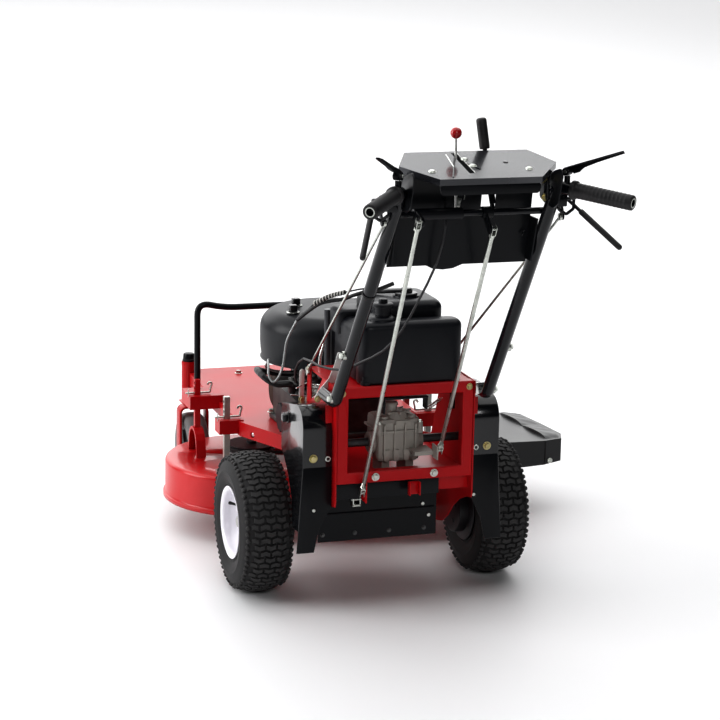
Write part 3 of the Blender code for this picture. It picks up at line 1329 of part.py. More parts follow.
# Cables and hoses that the machine holds along their whole length
def make_cables():
    fin_end = ENGINE_X - 0.070 - 2 * GAP
    beside = PANEL_SHEET / 2 + 0.0035
    clip = PANEL_TOP - 0.088
    throttle = [(-0.0400, panel_y(clip) - beside, clip), (-0.0430, -0.552, clip - 0.050),
                (-0.052, -0.530, 0.850),
                (-0.062, -0.450, 0.755), (-0.072, -0.380, 0.680), (-0.088, -0.310, 0.622),
                (-0.120, -0.252, 0.585), (-0.150, -0.215, 0.562), (-0.174, -0.130, 0.553),
                (-0.178, -0.020, 0.545), (-0.170, 0.070, 0.500), (-0.148, 0.140, 0.452),
                (-0.118, 0.190, 0.433), (fin_end - 2 * GAP, 0.190, 0.433)]
    keep(tube_mesh(smooth_route(throttle, 2), 0.0028, 2), "throttle_cable", RUBBER, smooth=60)
    vent = [(0.012, -0.078, 0.704), (-0.010, -0.070, 0.707), (-0.045, -0.045, 0.704),
            (-0.080, -0.005, 0.700), (-0.110, 0.030, 0.674), (-0.139, 0.060, 0.643),
            (-0.166, 0.078, 0.612), (-0.186, 0.085, 0.567), (-0.192, 0.085, 0.535),
            (-0.197, 0.083, 0.505), (-0.208, 0.080, 0.480), (-0.220, 0.080, 0.470),
            (-0.229, 0.085, 0.483), (-0.227, 0.098, 0.500), (-0.220, 0.125, 0.510),
            (-0.208, 0.165, 0.500), (-0.200, 0.215, 0.472), (-0.165, 0.240, 0.454),
            (-0.130, 0.246, 0.448), (-0.113, 0.246, 0.448), (fin_end, 0.246, 0.448)]
    keep(tube_mesh(smooth_route(vent, 2), 0.0035, 2), "vent_hose", RUBBER, smooth=60)
    drain = [(fin_end, 0.300, 0.433), (-0.128, 0.300, 0.433), (-0.172, 0.286, 0.442),
             (-0.207, 0.250, 0.457), (-0.229, 0.190, 0.474), (-0.240, 0.135, 0.482),
             (-0.235, 0.112, 0.476), (-0.221, 0.104, 0.465), (-0.203, 0.101, 0.458),
             (-0.181, 0.104, 0.457), (-0.168, 0.114, 0.451), (-0.160, 0.137, 0.436),
             (-0.150, 0.168, 0.421), (-0.132, 0.208, 0.418), (-0.114, 0.216, 0.418),
             (fin_end, 0.216, 0.418)]
    keep(tube_mesh(smooth_route(drain, 2), 0.0075, 2), "oil_hose", RUBBER, smooth=60)


def centre_assembly():
    """Stand the finished assembly with the middle of its box's foot on the world origin."""
    bpy.context.view_layer.update()
    graph = bpy.context.evaluated_depsgraph_get()
    low = Vector((1e9, 1e9, 1e9))
    high = -low
    for obj in PARTS.objects:
        if obj.type != 'MESH':
            continue
        seen = obj.evaluated_get(graph)
        for vert in seen.data.vertices:
            point = seen.matrix_world @ vert.co
            low = Vector(map(min, low, point))
            high = Vector(map(max, high, point))
    ROOT.location = (-(low.x + high.x) / 2, -(low.y + high.y) / 2, -low.z)
    bpy.context.view_layer.update()


make_drive_wheels()
make_axle()
make_rear_frame()
make_side_plates()
make_wheel_shields()
make_rear_guard()
make_carrier()
make_guard_hoop()
make_casters()
DECK = make_deck()
make_hangers(DECK)
make_hitch_pins(DECK)
make_spindles(DECK)
make_chute(DECK)
make_engine()
make_engine_pulley()
make_gearbox()
make_output_shaft()
make_tank()
make_handle()
make_grips()
make_console()
make_console_panel()
make_control_levers()
make_control_rods()
make_drive_levers()
make_side_rods()
make_presence_levers()
make_cables()
centre_assembly()
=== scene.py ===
"""Looks of a walk-behind lawn mower with a floating deck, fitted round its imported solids.

Sizes are in metres: X to the operator's right, Y forward, Z up, from the drive axle's middle.
"""
import math

import bmesh
import bpy
from mathutils import Matrix, Vector


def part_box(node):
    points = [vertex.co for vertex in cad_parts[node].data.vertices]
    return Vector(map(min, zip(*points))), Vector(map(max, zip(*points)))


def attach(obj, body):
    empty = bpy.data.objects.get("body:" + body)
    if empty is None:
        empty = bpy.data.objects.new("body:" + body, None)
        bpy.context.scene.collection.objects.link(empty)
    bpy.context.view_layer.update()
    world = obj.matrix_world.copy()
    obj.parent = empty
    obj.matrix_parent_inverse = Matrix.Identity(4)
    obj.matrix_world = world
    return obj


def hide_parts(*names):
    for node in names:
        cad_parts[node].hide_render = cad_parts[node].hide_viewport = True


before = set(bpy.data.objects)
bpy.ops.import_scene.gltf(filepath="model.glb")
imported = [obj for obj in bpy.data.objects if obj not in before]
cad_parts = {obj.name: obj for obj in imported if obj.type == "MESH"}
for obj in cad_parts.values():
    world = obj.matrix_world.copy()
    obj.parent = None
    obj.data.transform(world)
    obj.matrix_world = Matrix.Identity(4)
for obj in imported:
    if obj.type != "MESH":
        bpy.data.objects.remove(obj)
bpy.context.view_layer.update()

# Studio: a pale seamless floor under a white surround, with large soft lamps overhead, at the left
# and beyond the machine, so that its top sheets glare as in the photograph. The camera stands
# behind the handle and a little to its left, with a long lens.
axle_low, axle_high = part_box("axle")
AXLE_Y, AXLE_Z = 0.024, 0.1615
HOME = (axle_low + axle_high) / 2 - Vector((0.0, AXLE_Y, AXLE_Z))
floor_mesh = bpy.data.meshes.new("studio_floor")
floor_mesh.from_pydata([(-40, -40, 0), (40, -40, 0), (40, 40, 0), (-40, 40, 0)], [], [(0, 1, 2, 3)])
studio_floor = bpy.data.objects.new("studio_floor", floor_mesh)
bpy.context.scene.collection.objects.link(studio_floor)
floor_paint = bpy.data.materials.new("studio_floor_paint")
floor_paint.use_nodes = True
floor_shader = floor_paint.node_tree.nodes["Principled BSDF"]
floor_shader.inputs["Base Color"].default_value = (0.90, 0.90, 0.91, 1)
floor_shader.inputs["Roughness"].default_value = 0.55
floor_mesh.materials.append(floor_paint)

surround = bpy.data.worlds.new("studio_surround")
surround.use_nodes = True
surround.node_tree.nodes["Background"].inputs["Color"].default_value = (1.0, 1.0, 1.0, 1)
surround.node_tree.nodes["Background"].inputs["Strength"].default_value = 0.20
bpy.context.scene.view_settings.view_transform = 'Standard'
bpy.context.scene.view_settings.gamma = 0.80


def soft_lamp(name, at, aim, size, watts):
    lamp = bpy.data.lights.new(name, 'AREA')
    lamp.shape = 'RECTANGLE'
    lamp.size, lamp.size_y = size
    lamp.energy = watts
    holder = bpy.data.objects.new(name, lamp)
    holder.location = at
    holder.rotation_euler = (Vector(aim) - Vector(at)).to_track_quat('-Z', 'Y').to_euler()
    bpy.context.scene.collection.objects.link(holder)


soft_lamp("lamp_overhead", (-1.0, 6.0, 7.0), (-1.0, 6.0, 0.0), (16.0, 18.0), 1500)
soft_lamp("lamp_beyond", (2.0, 22.0, 7.0), (2.0, 0.0, 4.0), (36.0, 11.0), 2700)
soft_lamp("lamp_left", (-5.5, 1.2, 2.4), (0, 0.2, 0.4), (3.2, 3.0), 230)
soft_lamp("lamp_near", (-0.6, -6.2, 3.4), (0, 0, 0.4), (2.6, 1.6), 95)

LENS = 112.2
YAW, PITCH, ROLL = math.radians(17.88), math.radians(13.09), math.radians(1.01)
sight = Vector((math.sin(YAW) * math.cos(PITCH), math.cos(YAW) * math.cos(PITCH), -math.sin(PITCH)))
eye = bpy.data.cameras.new("photo_camera")
eye.lens = LENS
eye.sensor_width = 36.0
photo_camera = bpy.data.objects.new("photo_camera", eye)
photo_camera.location = Vector((-1.5587, -4.7102, 1.6804)) + HOME
photo_camera.rotation_euler = (sight.to_track_quat('-Z', 'Y').to_matrix().to_4x4()
                               @ Matrix.Rotation(ROLL, 4, 'Z')).to_euler()
bpy.context.scene.collection.objects.link(photo_camera)
bpy.context.scene.camera = photo_camera

# Drive tyres: hollow black rubber turf tyres with staggered arrow-shaped blocks moulded round the
# crown, small round lugs on each shoulder and ribs on the walls. The air inside holds each one on
# the beads of its rim.
def make_finish(name, colour, roughness, metallic=0.0, spread=0.10, patch=9.0, relief=0.10,
                grain=900.0, coat=0.0, coat_rough=0.06, scuff=None, depth=0.0006, level=0.5):
    """A finish whose tone, gloss and fine relief vary over the surface."""
    made = bpy.data.materials.new(name)
    made.use_nodes = True
    tree = made.node_tree
    shader = tree.nodes["Principled BSDF"]
    shader.inputs["Metallic"].default_value = metallic
    shader.inputs["Specular IOR Level"].default_value = level
    shader.inputs["Coat Weight"].default_value = coat
    shader.inputs["Coat Roughness"].default_value = coat_rough
    place = tree.nodes.new("ShaderNodeTexCoord")
    cloud = tree.nodes.new("ShaderNodeTexNoise")
    cloud.inputs["Scale"].default_value = patch
    cloud.inputs["Detail"].default_value = 5.0
    tones = tree.nodes.new("ShaderNodeValToRGB")
    low = [c * (1 - spread) for c in colour[:3]]
    high = list(scuff) if scuff else [min(1.0, c * (1 + spread)) for c in colour[:3]]
    tones.color_ramp.elements[0].position = 0.30
    tones.color_ramp.elements[0].color = (*low, 1)
    tones.color_ramp.elements[1].position = 0.72
    tones.color_ramp.elements[1].color = (*high, 1)
    gloss = tree.nodes.new("ShaderNodeMapRange")
    gloss.inputs["To Min"].default_value = roughness * 0.82
    gloss.inputs["To Max"].default_value = min(1.0, roughness * 1.22)
    fine = tree.nodes.new("ShaderNodeTexNoise")
    fine.inputs["Scale"].default_value = grain
    fine.inputs["Detail"].default_value = 3.0
    bump = tree.nodes.new("ShaderNodeBump")
    bump.inputs["Strength"].default_value = relief
    bump.inputs["Distance"].default_value = depth
    link = tree.links.new
    link(place.outputs["Object"], cloud.inputs["Vector"])
    link(place.outputs["Object"], fine.inputs["Vector"])
    link(cloud.outputs["Fac"], tones.inputs["Fac"])
    link(cloud.outputs["Fac"], gloss.inputs["Value"])
    link(fine.outputs["Fac"], bump.inputs["Height"])
    link(tones.outputs["Color"], shader.inputs["Base Color"])
    link(gloss.outputs["Result"], shader.inputs["Roughness"])
    link(bump.outputs["Normal"], shader.inputs["Normal"])
    return made


def into_piece(name, bm, finish, crease=35, weld=True):
    """One object from a mesh that was drawn from the axle's middle."""
    if weld:
        bmesh.ops.remove_doubles(bm, verts=bm.verts, dist=0.00001)
    bmesh.ops.recalc_face_normals(bm, faces=bm.faces)
    mesh = bpy.data.meshes.new(name)
    bm.to_mesh(mesh)
    bm.free()
    mesh.shade_smooth()
    mesh.set_sharp_from_angle(angle=math.radians(crease))
    mesh.materials.append(finish)
    piece = bpy.data.objects.new(name, mesh)
    bpy.context.scene.collection.objects.link(piece)
    piece.location = HOME
    return piece


def fit(piece, body, slot, *nodes):
    """Hang a piece on its body and let it stand for the solids that it dresses."""
    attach(piece, body)
    if nodes:
        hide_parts(*nodes)
    return piece


def hang(name, bm, finish, crease, body, slot, *nodes):
    """A piece that keeps its fittings separate, on its body."""
    return fit(into_piece(name, bm, finish, crease, weld=False), body, slot, *nodes)


def on_chassis(name, bm, finish, crease, slot, *nodes):
    return hang(name, bm, finish, crease, "chassis", slot, *nodes)


def both_ways(half):
    """A whole profile from one half of it, mirrored about its middle."""
    return half + [(r, -h) for r, h in reversed(half) if h]


def turns(count, start=0.0):
    """Angles at equal steps round a circle."""
    return [math.radians(360 / count * step + start) for step in range(count)]


def lathe(bm, profile, centre, axis, steps=72, closed=False):
    """Sweep (radius, offset) points round an axis through a centre."""
    axis = Vector(axis).normalized()
    side = axis.orthogonal().normalized()
    other = axis.cross(side)
    rings = []
    for index in range(steps):
        angle = math.radians(360.0 * index / steps)
        spoke = side * math.cos(angle) + other * math.sin(angle)
        rings.append([bm.verts.new(Vector(centre) + axis * h + spoke * r) for r, h in profile])
    count = len(profile)
    for index, ring in enumerate(rings):
        after = rings[(index + 1) % steps]
        for at in range(count if closed else count - 1):
            then = (at + 1) % count
            face = [ring[at], ring[then], after[then], after[at]]
            if profile[at][0] < 1e-6:
                face.remove(after[at])
            if profile[then][0] < 1e-6:
                face.remove(after[then])
            if len(face) > 2:
                bm.faces.new(face)
    return bm


TYRE_RADIUS = 0.1608
TRACK_HALF = 0.281
TREAD_DEPTH = 0.0050
ROWS = 64
BLOCK_PITCH = 0.0255
BLOCK_WIDTH = 0.0218
BLOCK_LENGTH = 0.0108
EDGE_STEP, EDGE_SHARE = 1.40, 0.66
ARROW = 0.0023
SHOULDER_LUG = 0.0088
LUG_RADIUS, LUG_OFFSET = 0.1462, 0.0492

# The blocks and shoulder lugs get a lighter copy of the carcass rubber: painted light on the blocks,
# set against the darker grooves between them.
block_rubber_painted_light = make_finish("block_rubber_painted_light", (0.042, 0.041, 0.043), 0.66, spread=0.22, patch=30,
                           relief=0.25, grain=700, scuff=(0.058, 0.056, 0.056), level=0.35)
tyre_rubber = make_finish("tyre_rubber", (0.011, 0.011, 0.012), 0.56, spread=0.25, patch=14,
                          relief=0.30, grain=700, scuff=(0.020, 0.019, 0.020), level=0.35)


def crown(offset):
    """Radius of the tread's top at an offset from the tyre's middle."""
    return TYRE_RADIUS - 3.0 * offset ** 2 - 900 * offset ** 4


def add_tread_block(bm, middle, row, offset, width, length, arrow, columns=6):
    """One block of the tread, bent to an arrow and wrapped round the crown."""
    top, foot = [], []
    for edge in (-1, 1):
        tops, feet = [], []
        for index in range(columns + 1):
            share = index / columns - 0.5
            for store, flare, sink in ((tops, 0.93, 0.0), (feet, 1.07, TREAD_DEPTH + 0.0012)):
                across = offset + share * width * flare
                wave = abs((across / BLOCK_PITCH + 0.5) % 1.0 - 0.5)
                lift = arrow * (4 * wave - 1)
                along = edge * length / 2 * flare + lift
                angle = row * 2 * math.pi / ROWS + along / TYRE_RADIUS
                radius = crown(across) - sink
                store.append(bm.verts.new(middle + Vector((across, -math.cos(angle) * radius,
                                                           math.sin(angle) * radius))))
        top.append(tops)
        foot.append(feet)
    for index in range(columns):
        bm.faces.new((top[0][index], top[0][index + 1], top[1][index + 1], top[1][index]))
        for edge in (0, 1):
            bm.faces.new((foot[edge][index], foot[edge][index + 1], top[edge][index + 1],
                          top[edge][index]))
    for end in (0, columns):
        bm.faces.new((foot[0][end], foot[1][end], top[1][end], top[0][end]))


def make_tyre(hand, side):
    name, body = "tyre_" + hand, "drive_wheel_" + hand
    bm = bmesh.new()
    middle = Vector((side * TRACK_HALF, AXLE_Y, AXLE_Z))
    wall = [(0.0766, 0.0445), (0.0800, 0.0505), (0.0835, 0.0520), (0.0860, 0.0522),
            (0.0868, 0.0538), (0.0884, 0.0540), (0.0894, 0.0530), (0.0930, 0.0545),
            (0.1000, 0.0578), (0.1080, 0.0598), (0.1150, 0.0604), (0.1165, 0.0611),
            (0.1182, 0.0608), (0.1200, 0.0600), (0.1290, 0.0584), (0.1370, 0.0556),
            (0.1430, 0.0522), (0.1475, 0.0478), (0.1508, 0.0420), (0.1532, 0.0340),
            (0.1550, 0.0220), (0.1557, 0.0)]
    lathe(bm, both_ways(wall), middle, (1, 0, 0), 120)
    hang("turf_" + name, bm, tyre_rubber, 40, body, "tyre_rubber", name)
    bm = bmesh.new()
    for row in range(ROWS):
        if row % 2:
            spots = [(0.0, 1.0), (-BLOCK_PITCH, 1.0), (BLOCK_PITCH, 1.0)]
        else:
            spots = [(-BLOCK_PITCH / 2, 1.0), (BLOCK_PITCH / 2, 1.0),
                     (-BLOCK_PITCH * EDGE_STEP, EDGE_SHARE), (BLOCK_PITCH * EDGE_STEP, EDGE_SHARE)]
        for offset, share in spots:
            add_tread_block(bm, middle, row, offset, BLOCK_WIDTH * share, BLOCK_LENGTH, ARROW)
        lift = 0.5 if row % 2 else 0.0
        for end in (-1, 1):
            angle = row * 2 * math.pi / ROWS
            spoke = Vector((0, -math.cos(angle), math.sin(angle)))
            at = middle + spoke * (LUG_RADIUS - 0.004 * lift) + Vector(
                (end * (LUG_OFFSET + 0.002 * lift), 0, 0))
            out = (spoke * 0.75 + Vector((end * 0.66, 0, 0))).normalized()
            lathe(bm, [(SHOULDER_LUG * 0.62, -0.004), (SHOULDER_LUG * 0.55, 0.0042),
                       (SHOULDER_LUG * 0.35, 0.0056), (0.0, 0.0058)], at, out, 8)
    # Blocks and lugs carry the lighter rubber as painted light on their faces.
    hang("turf_blocks_" + name, bm, block_rubber_painted_light, 40, body, "tyre_rubber")


make_tyre("left", -1)
make_tyre("right", 1)

# Wheels: pressed steel dish and barrel with rolled lips, sprayed white, with a rubber valve
# through the dish. The hub and its brake drum are black; the rim's inboard half is painted black
# with them as painted shade inside the wheel. The hub turns on the fixed axle behind a plain
# washer and nut.
wheel_white = make_finish("wheel_white", (0.80, 0.78, 0.83), 0.30, spread=0.03, patch=16,
                          relief=0.06, grain=420, coat=0.5, coat_rough=0.10)
# Black of the brake drum, also laid on the rim's inboard half as painted shade inside the wheel.
drum_and_rim_shade_black = make_finish("drum_and_rim_shade_black", (0.012, 0.010, 0.014), 0.42, spread=0.3, patch=22,
                         relief=0.15, grain=260, scuff=(0.022, 0.018, 0.024))
valve_rubber = make_finish("valve_rubber", (0.012, 0.012, 0.012), 0.6, relief=0.2, grain=1500)
axle_steel = make_finish("axle_steel", (0.50, 0.50, 0.48), 0.34, metallic=1.0, spread=0.12,
                         patch=60, relief=0.10, grain=1200)


def make_wheel(name, side):
    body = "drive_wheel_" + name
    middle = Vector((side * TRACK_HALF, AXLE_Y, AXLE_Z))
    out = (side, 0, 0)
    bm = bmesh.new()
    dish = [(0.0120, 0.0300), (0.0200, 0.0300), (0.0218, 0.0285), (0.0222, 0.0215),
            (0.0270, 0.0180), (0.0420, 0.0150), (0.0520, 0.0150), (0.0580, 0.0190),
            (0.0630, 0.0270), (0.0670, 0.0320), (0.0700, 0.0365), (0.0712, 0.0420),
            (0.0716, 0.0490), (0.0745, 0.0530), (0.0800, 0.0552), (0.0824, 0.0556),
            (0.0834, 0.0546), (0.0830, 0.0528), (0.0800, 0.0515), (0.0772, 0.0480)]
    lathe(bm, dish, middle, out, 96)
    fit(into_piece("wheel_" + name, bm, wheel_white, 40), body, "white_paint", "rim_" + name)
    bm = bmesh.new()
    # Inboard barrel and flange of the white rim, drawn in the drum's black as painted shade, closed by
    # the drum's own black face.
    inboard = [(0.0110, -0.0838), (0.0560, -0.0838), (0.0610, -0.0820), (0.0618, -0.0780),
               (0.0618, -0.0610), (0.0640, -0.0596), (0.0760, -0.0592), (0.0815, -0.0574),
               (0.0826, -0.0555), (0.0815, -0.0530), (0.0740, -0.0480)]
    lathe(bm, inboard, middle, out, 72)
    for angle in turns(5, 20):
        spot = middle + Vector((-side * 0.0836, math.cos(angle) * 0.036, math.sin(angle) * 0.036))
        lathe(bm, [(0.0, 0.0026), (0.0035, 0.0024), (0.0052, 0.0012), (0.0054, -0.001)], spot,
              (-side, 0, 0), 10)
    fit(into_piece("drum_and_shaded_rim_" + name, bm, drum_and_rim_shade_black, 35), body, "dark_steel")
    bm = bmesh.new()
    valve = middle + Vector((side * 0.0210, 0.0600, 0.0240))
    lean = (side * 0.92, 0.37, 0.13)
    lathe(bm, [(0.0078, -0.006), (0.0074, 0.0), (0.0052, 0.0035), (0.0045, 0.012),
               (0.0049, 0.0135), (0.0049, 0.019), (0.0036, 0.0205), (0.0, 0.0206)], valve, lean, 16)
    fit(into_piece("valve_" + name, bm, valve_rubber, 40), body, "rubber")
    bm = bmesh.new()
    lathe(bm, [(0.0185, 0.0300), (0.0185, 0.0318), (0.0100, 0.0320), (0.0098, 0.0372),
               (0.0085, 0.0378), (0.0, 0.0378)], middle, out, 32)
    lathe(bm, [(0.0140, 0.0318), (0.0140, 0.0358), (0.0130, 0.0366), (0.0, 0.0367)], middle, out, 6)
    fit(into_piece("hub_nut_" + name, bm, axle_steel, 30), body, "bare_steel")


make_wheel("left", -1)
make_wheel("right", 1)


def repaint(finish, *nodes):
    """Give solids whose shape is already right their real finish."""
    for node in nodes:
        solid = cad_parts[node]
        for place in solid.material_slots:
            place.material = finish


repaint(axle_steel, "axle")

# Chassis: a window frame of square steel tube, welded to two bent side plates, all powder-coated
# red. Plated hex bolts hold its lower rail and its top corners.
RED = (0.46, 0.0030, 0.0070)
red_paint = make_finish("red_paint", RED, 0.34, spread=0.10, patch=5, relief=0.05, grain=260,
                        coat=0.15, coat_rough=0.08, scuff=(0.50, 0.005, 0.009), level=0.16)
plated_steel = make_finish("plated_steel", (0.60, 0.62, 0.58), 0.28, metallic=1.0, spread=0.12,
                           patch=70, relief=0.08, grain=1400)
brassy_plate = make_finish("brassy_plate", (0.52, 0.46, 0.20), 0.34, metallic=0.9, spread=0.18,
                           patch=80, relief=0.08, grain=1400, scuff=(0.62, 0.55, 0.32))
FRAME_REAR = -0.215
repaint(red_paint, "rear_frame", "side_plate_left", "side_plate_right")


def hex_bolts(name, finish, out, places, across=0.012, washer=True, body="chassis"):
    """Hex bolt heads that face one way, each with its washer."""
    bm = bmesh.new()
    out = Vector(out).normalized()
    radius = across / 2
    for at in places:
        base = 0.0
        if washer:
            base = 0.0012
            lathe(bm, [(0.0, base), (radius * 1.45, base), (radius * 1.55, base * 0.6),
                       (radius * 1.55, -0.0004)], at, out, 20)
        tall = radius * 0.95
        lathe(bm, [(radius * 1.10, base - 0.0004), (radius * 1.10, base + tall * 0.82),
                   (radius * 0.98, base + tall), (radius * 0.50, base + tall),
                   (radius * 0.45, base + tall * 0.9), (0.0, base + tall * 0.9)], at, out, 6)
    hang(name, bm, finish, 25, body, "zinc_plate")


def add_weld(bm, start, end, radius=0.0024, ripple=0.0022):
    """A rippled weld bead along a straight run."""
    start, end = Vector(start), Vector(end)
    length = (end - start).length
    count = max(6, int(length / ripple))
    profile = [(0.0, 0.0)]
    for index in range(count + 1):
        profile.append((radius * (0.86 if index % 2 else 1.0), length * index / count))
    profile.append((0.0, length))
    lathe(bm, profile, start, end - start, 8)


back = (0, -1, 0)
hex_bolts("frame_corner_bolts", brassy_plate, back,
          [(x, FRAME_REAR, 0.5085) for x in (-0.1465, 0.1465)], 0.010)
hex_bolts("frame_rail_bolts", plated_steel, back,
          [(x, FRAME_REAR, 0.3165) for x in (-0.068, 0.068)])
SEAM_Y = FRAME_REAR + 0.0255
bm = bmesh.new()
for x in (-0.157, 0.157):
    for foot_z, head_z in ((0.32, 0.36), (0.40, 0.44), (0.47, 0.505)):
        add_weld(bm, (x, SEAM_Y, foot_z), (x, SEAM_Y, head_z))
on_chassis("frame_welds", bm, red_paint, 60, "red_paint")

# Wheel shields: black powder-coated sheet, bent over a former into a rear strip, a rounded top and
# an outer cheek that keeps cut grass off each drive tyre. They are bolted to the side plates'
# flanges.
BLACK = (0.0030, 0.0038, 0.0060)
black_paint = make_finish("black_paint", BLACK, 0.32, spread=0.20, patch=6, relief=0.06, grain=300,
                          coat=0.06, coat_rough=0.12, level=0.24)
gloss_black = make_finish("gloss_black", BLACK, 0.22, spread=0.20, patch=6, relief=0.04, grain=300,
                          coat=0.7, coat_rough=0.10, level=0.4)
SHIELD_REAR = FRAME_REAR + 0.025 - 0.0003
SHIELD_TOP = 0.470
SHIELD_BEND = 0.046
SHIELD_FALL = 12
SHIELD_FRONT = -0.020
SHIELD_SIDE_FOOT = 0.342
SHIELD_WIDE = 0.226
SKIRT_REAR = SHIELD_REAR - 0.0034


def shell_of(piece, thickness, offset, edge):
    """Give a bent sheet its thickness and slightly rounded edges."""
    thick = piece.modifiers.new("thickness", 'SOLIDIFY')
    thick.thickness = thickness
    thick.offset = offset
    thick.use_even_offset = True
    soft = piece.modifiers.new("edges", 'BEVEL')
    soft.width = edge
    soft.segments = 2
    soft.limit_method = 'ANGLE'
    soft.angle_limit = math.radians(40)


def make_shield(name, side, near):
    """Sheet through rows of (y, z, inner x, outer x), with a cheek that runs down round the tyre."""
    bm = bmesh.new()
    rows = [(SHIELD_REAR, 0.146, 0.200, 0.240), (SHIELD_REAR, 0.196, 0.190, 0.236),
            (SHIELD_REAR, 0.250, near, 0.232), (SHIELD_REAR, SHIELD_SIDE_FOOT, near, SHIELD_WIDE),
            (SHIELD_REAR, SHIELD_TOP - SHIELD_BEND - 0.004, near, SHIELD_WIDE)]
    for step in range(19):
        angle = math.radians(180 - (90 + SHIELD_FALL) * step / 18)
        rows.append((SHIELD_REAR + SHIELD_BEND + SHIELD_BEND * math.cos(angle),
                     SHIELD_TOP - SHIELD_BEND + SHIELD_BEND * math.sin(angle), near + 0.0010,
                     SHIELD_WIDE))
    fall = (SHIELD_FRONT - rows[-1][0]) * math.tan(math.radians(SHIELD_FALL))
    rows.append((SHIELD_FRONT, rows[-1][1] - fall, near + 0.0010, SHIELD_WIDE))
    inner = [bm.verts.new((side * x, y, z)) for y, z, x, _ in rows]
    outer = [bm.verts.new((side * x, y, z)) for y, z, _, x in rows]
    for index in range(len(rows) - 1):
        bm.faces.new((inner[index], inner[index + 1], outer[index + 1], outer[index]))
    round_tyre = [bm.verts.new((side * x, y, z)) for x, y, z in (
        (SHIELD_WIDE, SHIELD_FRONT, SHIELD_SIDE_FOOT), (0.2286, -0.0560, 0.3270),
        (0.2296, -0.0900, 0.3000), (0.2320, -0.1300, 0.2500), (0.2360, -0.1500, 0.1960))]
    bm.faces.new(outer[2:] + round_tyre[:-1])
    bm.faces.new((outer[1], outer[2], round_tyre[3], round_tyre[4]))
    shield = into_piece("shield_" + name, bm, gloss_black, 50)
    shell_of(shield, 0.0020, 1.0, 0.0006)
    fit(shield, "chassis", "black_paint", "wheel_shield_" + name)


make_shield("left", -1, 0.1614)
make_shield("right", 1, 0.1635)
bm = bmesh.new()
for side, near, seam in ((-1, 0.1618, 0.3400), (1, 0.1640, 0.3440)):
    sheet_line = [(side * near, 0.2485), (side * 0.1902, 0.1975), (side * 0.2002, 0.1475),
                  (side * 0.2398, 0.1475), (side * 0.2358, 0.1965), (side * 0.2315, 0.2500),
                  (side * 0.2265, 0.3400), (side * 0.2255, seam), (side * near, seam)]
    if side > 0:
        sheet_line.reverse()
    bm.faces.new([bm.verts.new((x, SKIRT_REAR, z)) for x, z in sheet_line])
shell_of(on_chassis("shield_skirts", bm, black_paint, 35, "black_paint"), 0.0013, 1.0, 0.0004)
bm = bmesh.new()
for x, z in ((-0.1708, 0.3585), (0.1738, 0.3620)):
    lathe(bm, [(0.0034, -0.0004), (0.0062, -0.0004), (0.0066, 0.0004), (0.0066, 0.0012),
               (0.0058, 0.0020), (0.0038, 0.0020), (0.0034, 0.0012)], (x, SHIELD_REAR - 0.0018, z),
          back, 26, closed=True)
on_chassis("shield_eyelets", bm, plated_steel, 40, "zinc_plate")
hex_bolts("shield_bolts_brassy", brassy_plate, back,
          [(x, SHIELD_REAR - 0.0020, z) for x, z in ((-0.2040, 0.3610), (0.2000, 0.3640))], 0.0125)
hex_bolts("shield_bolts_plated", plated_steel, back,
          [(x, SKIRT_REAR - 0.0012, z) for x, z in ((-0.2030, 0.2440), (0.1700, 0.2540))], 0.0075,
          washer=False)

# Rear guard: a folded black panel under the frame that keeps feet away from the blades, held by
# four plated bolts along its foot and two at its side. A small clevis and a red lug stand by it.
repaint(black_paint, "rear_guard")
GUARD_REAR = -0.078
guard_steel = make_finish("guard_steel", (0.115, 0.118, 0.118), 0.36, metallic=0.8, spread=0.2,
                          patch=60, relief=0.10, grain=1200)
hex_bolts("guard_bolts", guard_steel, back,
          [(x, GUARD_REAR, 0.1470) for x in (-0.146, -0.070, 0.012, 0.096)], 0.0072)
hex_bolts("guard_side_bolts", plated_steel, back,
          [(x, GUARD_REAR, z) for x, z in ((0.091, 0.205), (0.106, 0.177))], 0.0085, washer=False)


def route_points(points, bend, steps=8):
    """Corner points joined by round bends."""
    points = [Vector(p) for p in points]
    route = [points[0]]
    for before, corner, after in zip(points, points[1:], points[2:]):
        back_way, front_way = (before - corner), (after - corner)
        reach = min(bend, back_way.length * 0.49, front_way.length * 0.49)
        start = corner + back_way.normalized() * reach
        end = corner + front_way.normalized() * reach
        for step in range(steps + 1):
            t = step / steps
            route.append(start * (1 - t) ** 2 + corner * 2 * t * (1 - t) + end * t ** 2)
    route.append(points[-1])
    return route


def smooth_route(points, steps=10):
    """A soft curve through every point."""
    points = [Vector(p) for p in points]
    padded = [points[0] * 2 - points[1]] + points + [points[-1] * 2 - points[-2]]
    route = []
    for a, b, c, d in zip(padded, padded[1:], padded[2:], padded[3:]):
        for step in range(steps):
            t = step / steps
            route.append(0.5 * (2 * b + (c - a) * t + (2 * a - 5 * b + 4 * c - d) * t * t
                                + (3 * b - a - 3 * c + d) * t ** 3))
    route.append(points[-1])
    return route


def join_rings(bm, rings):
    """Skin from each ring to the next."""
    for ring, after in zip(rings, rings[1:]):
        for at in range(len(ring)):
            then = (at + 1) % len(ring)
            bm.faces.new((ring[at], ring[then], after[then], after[at]))


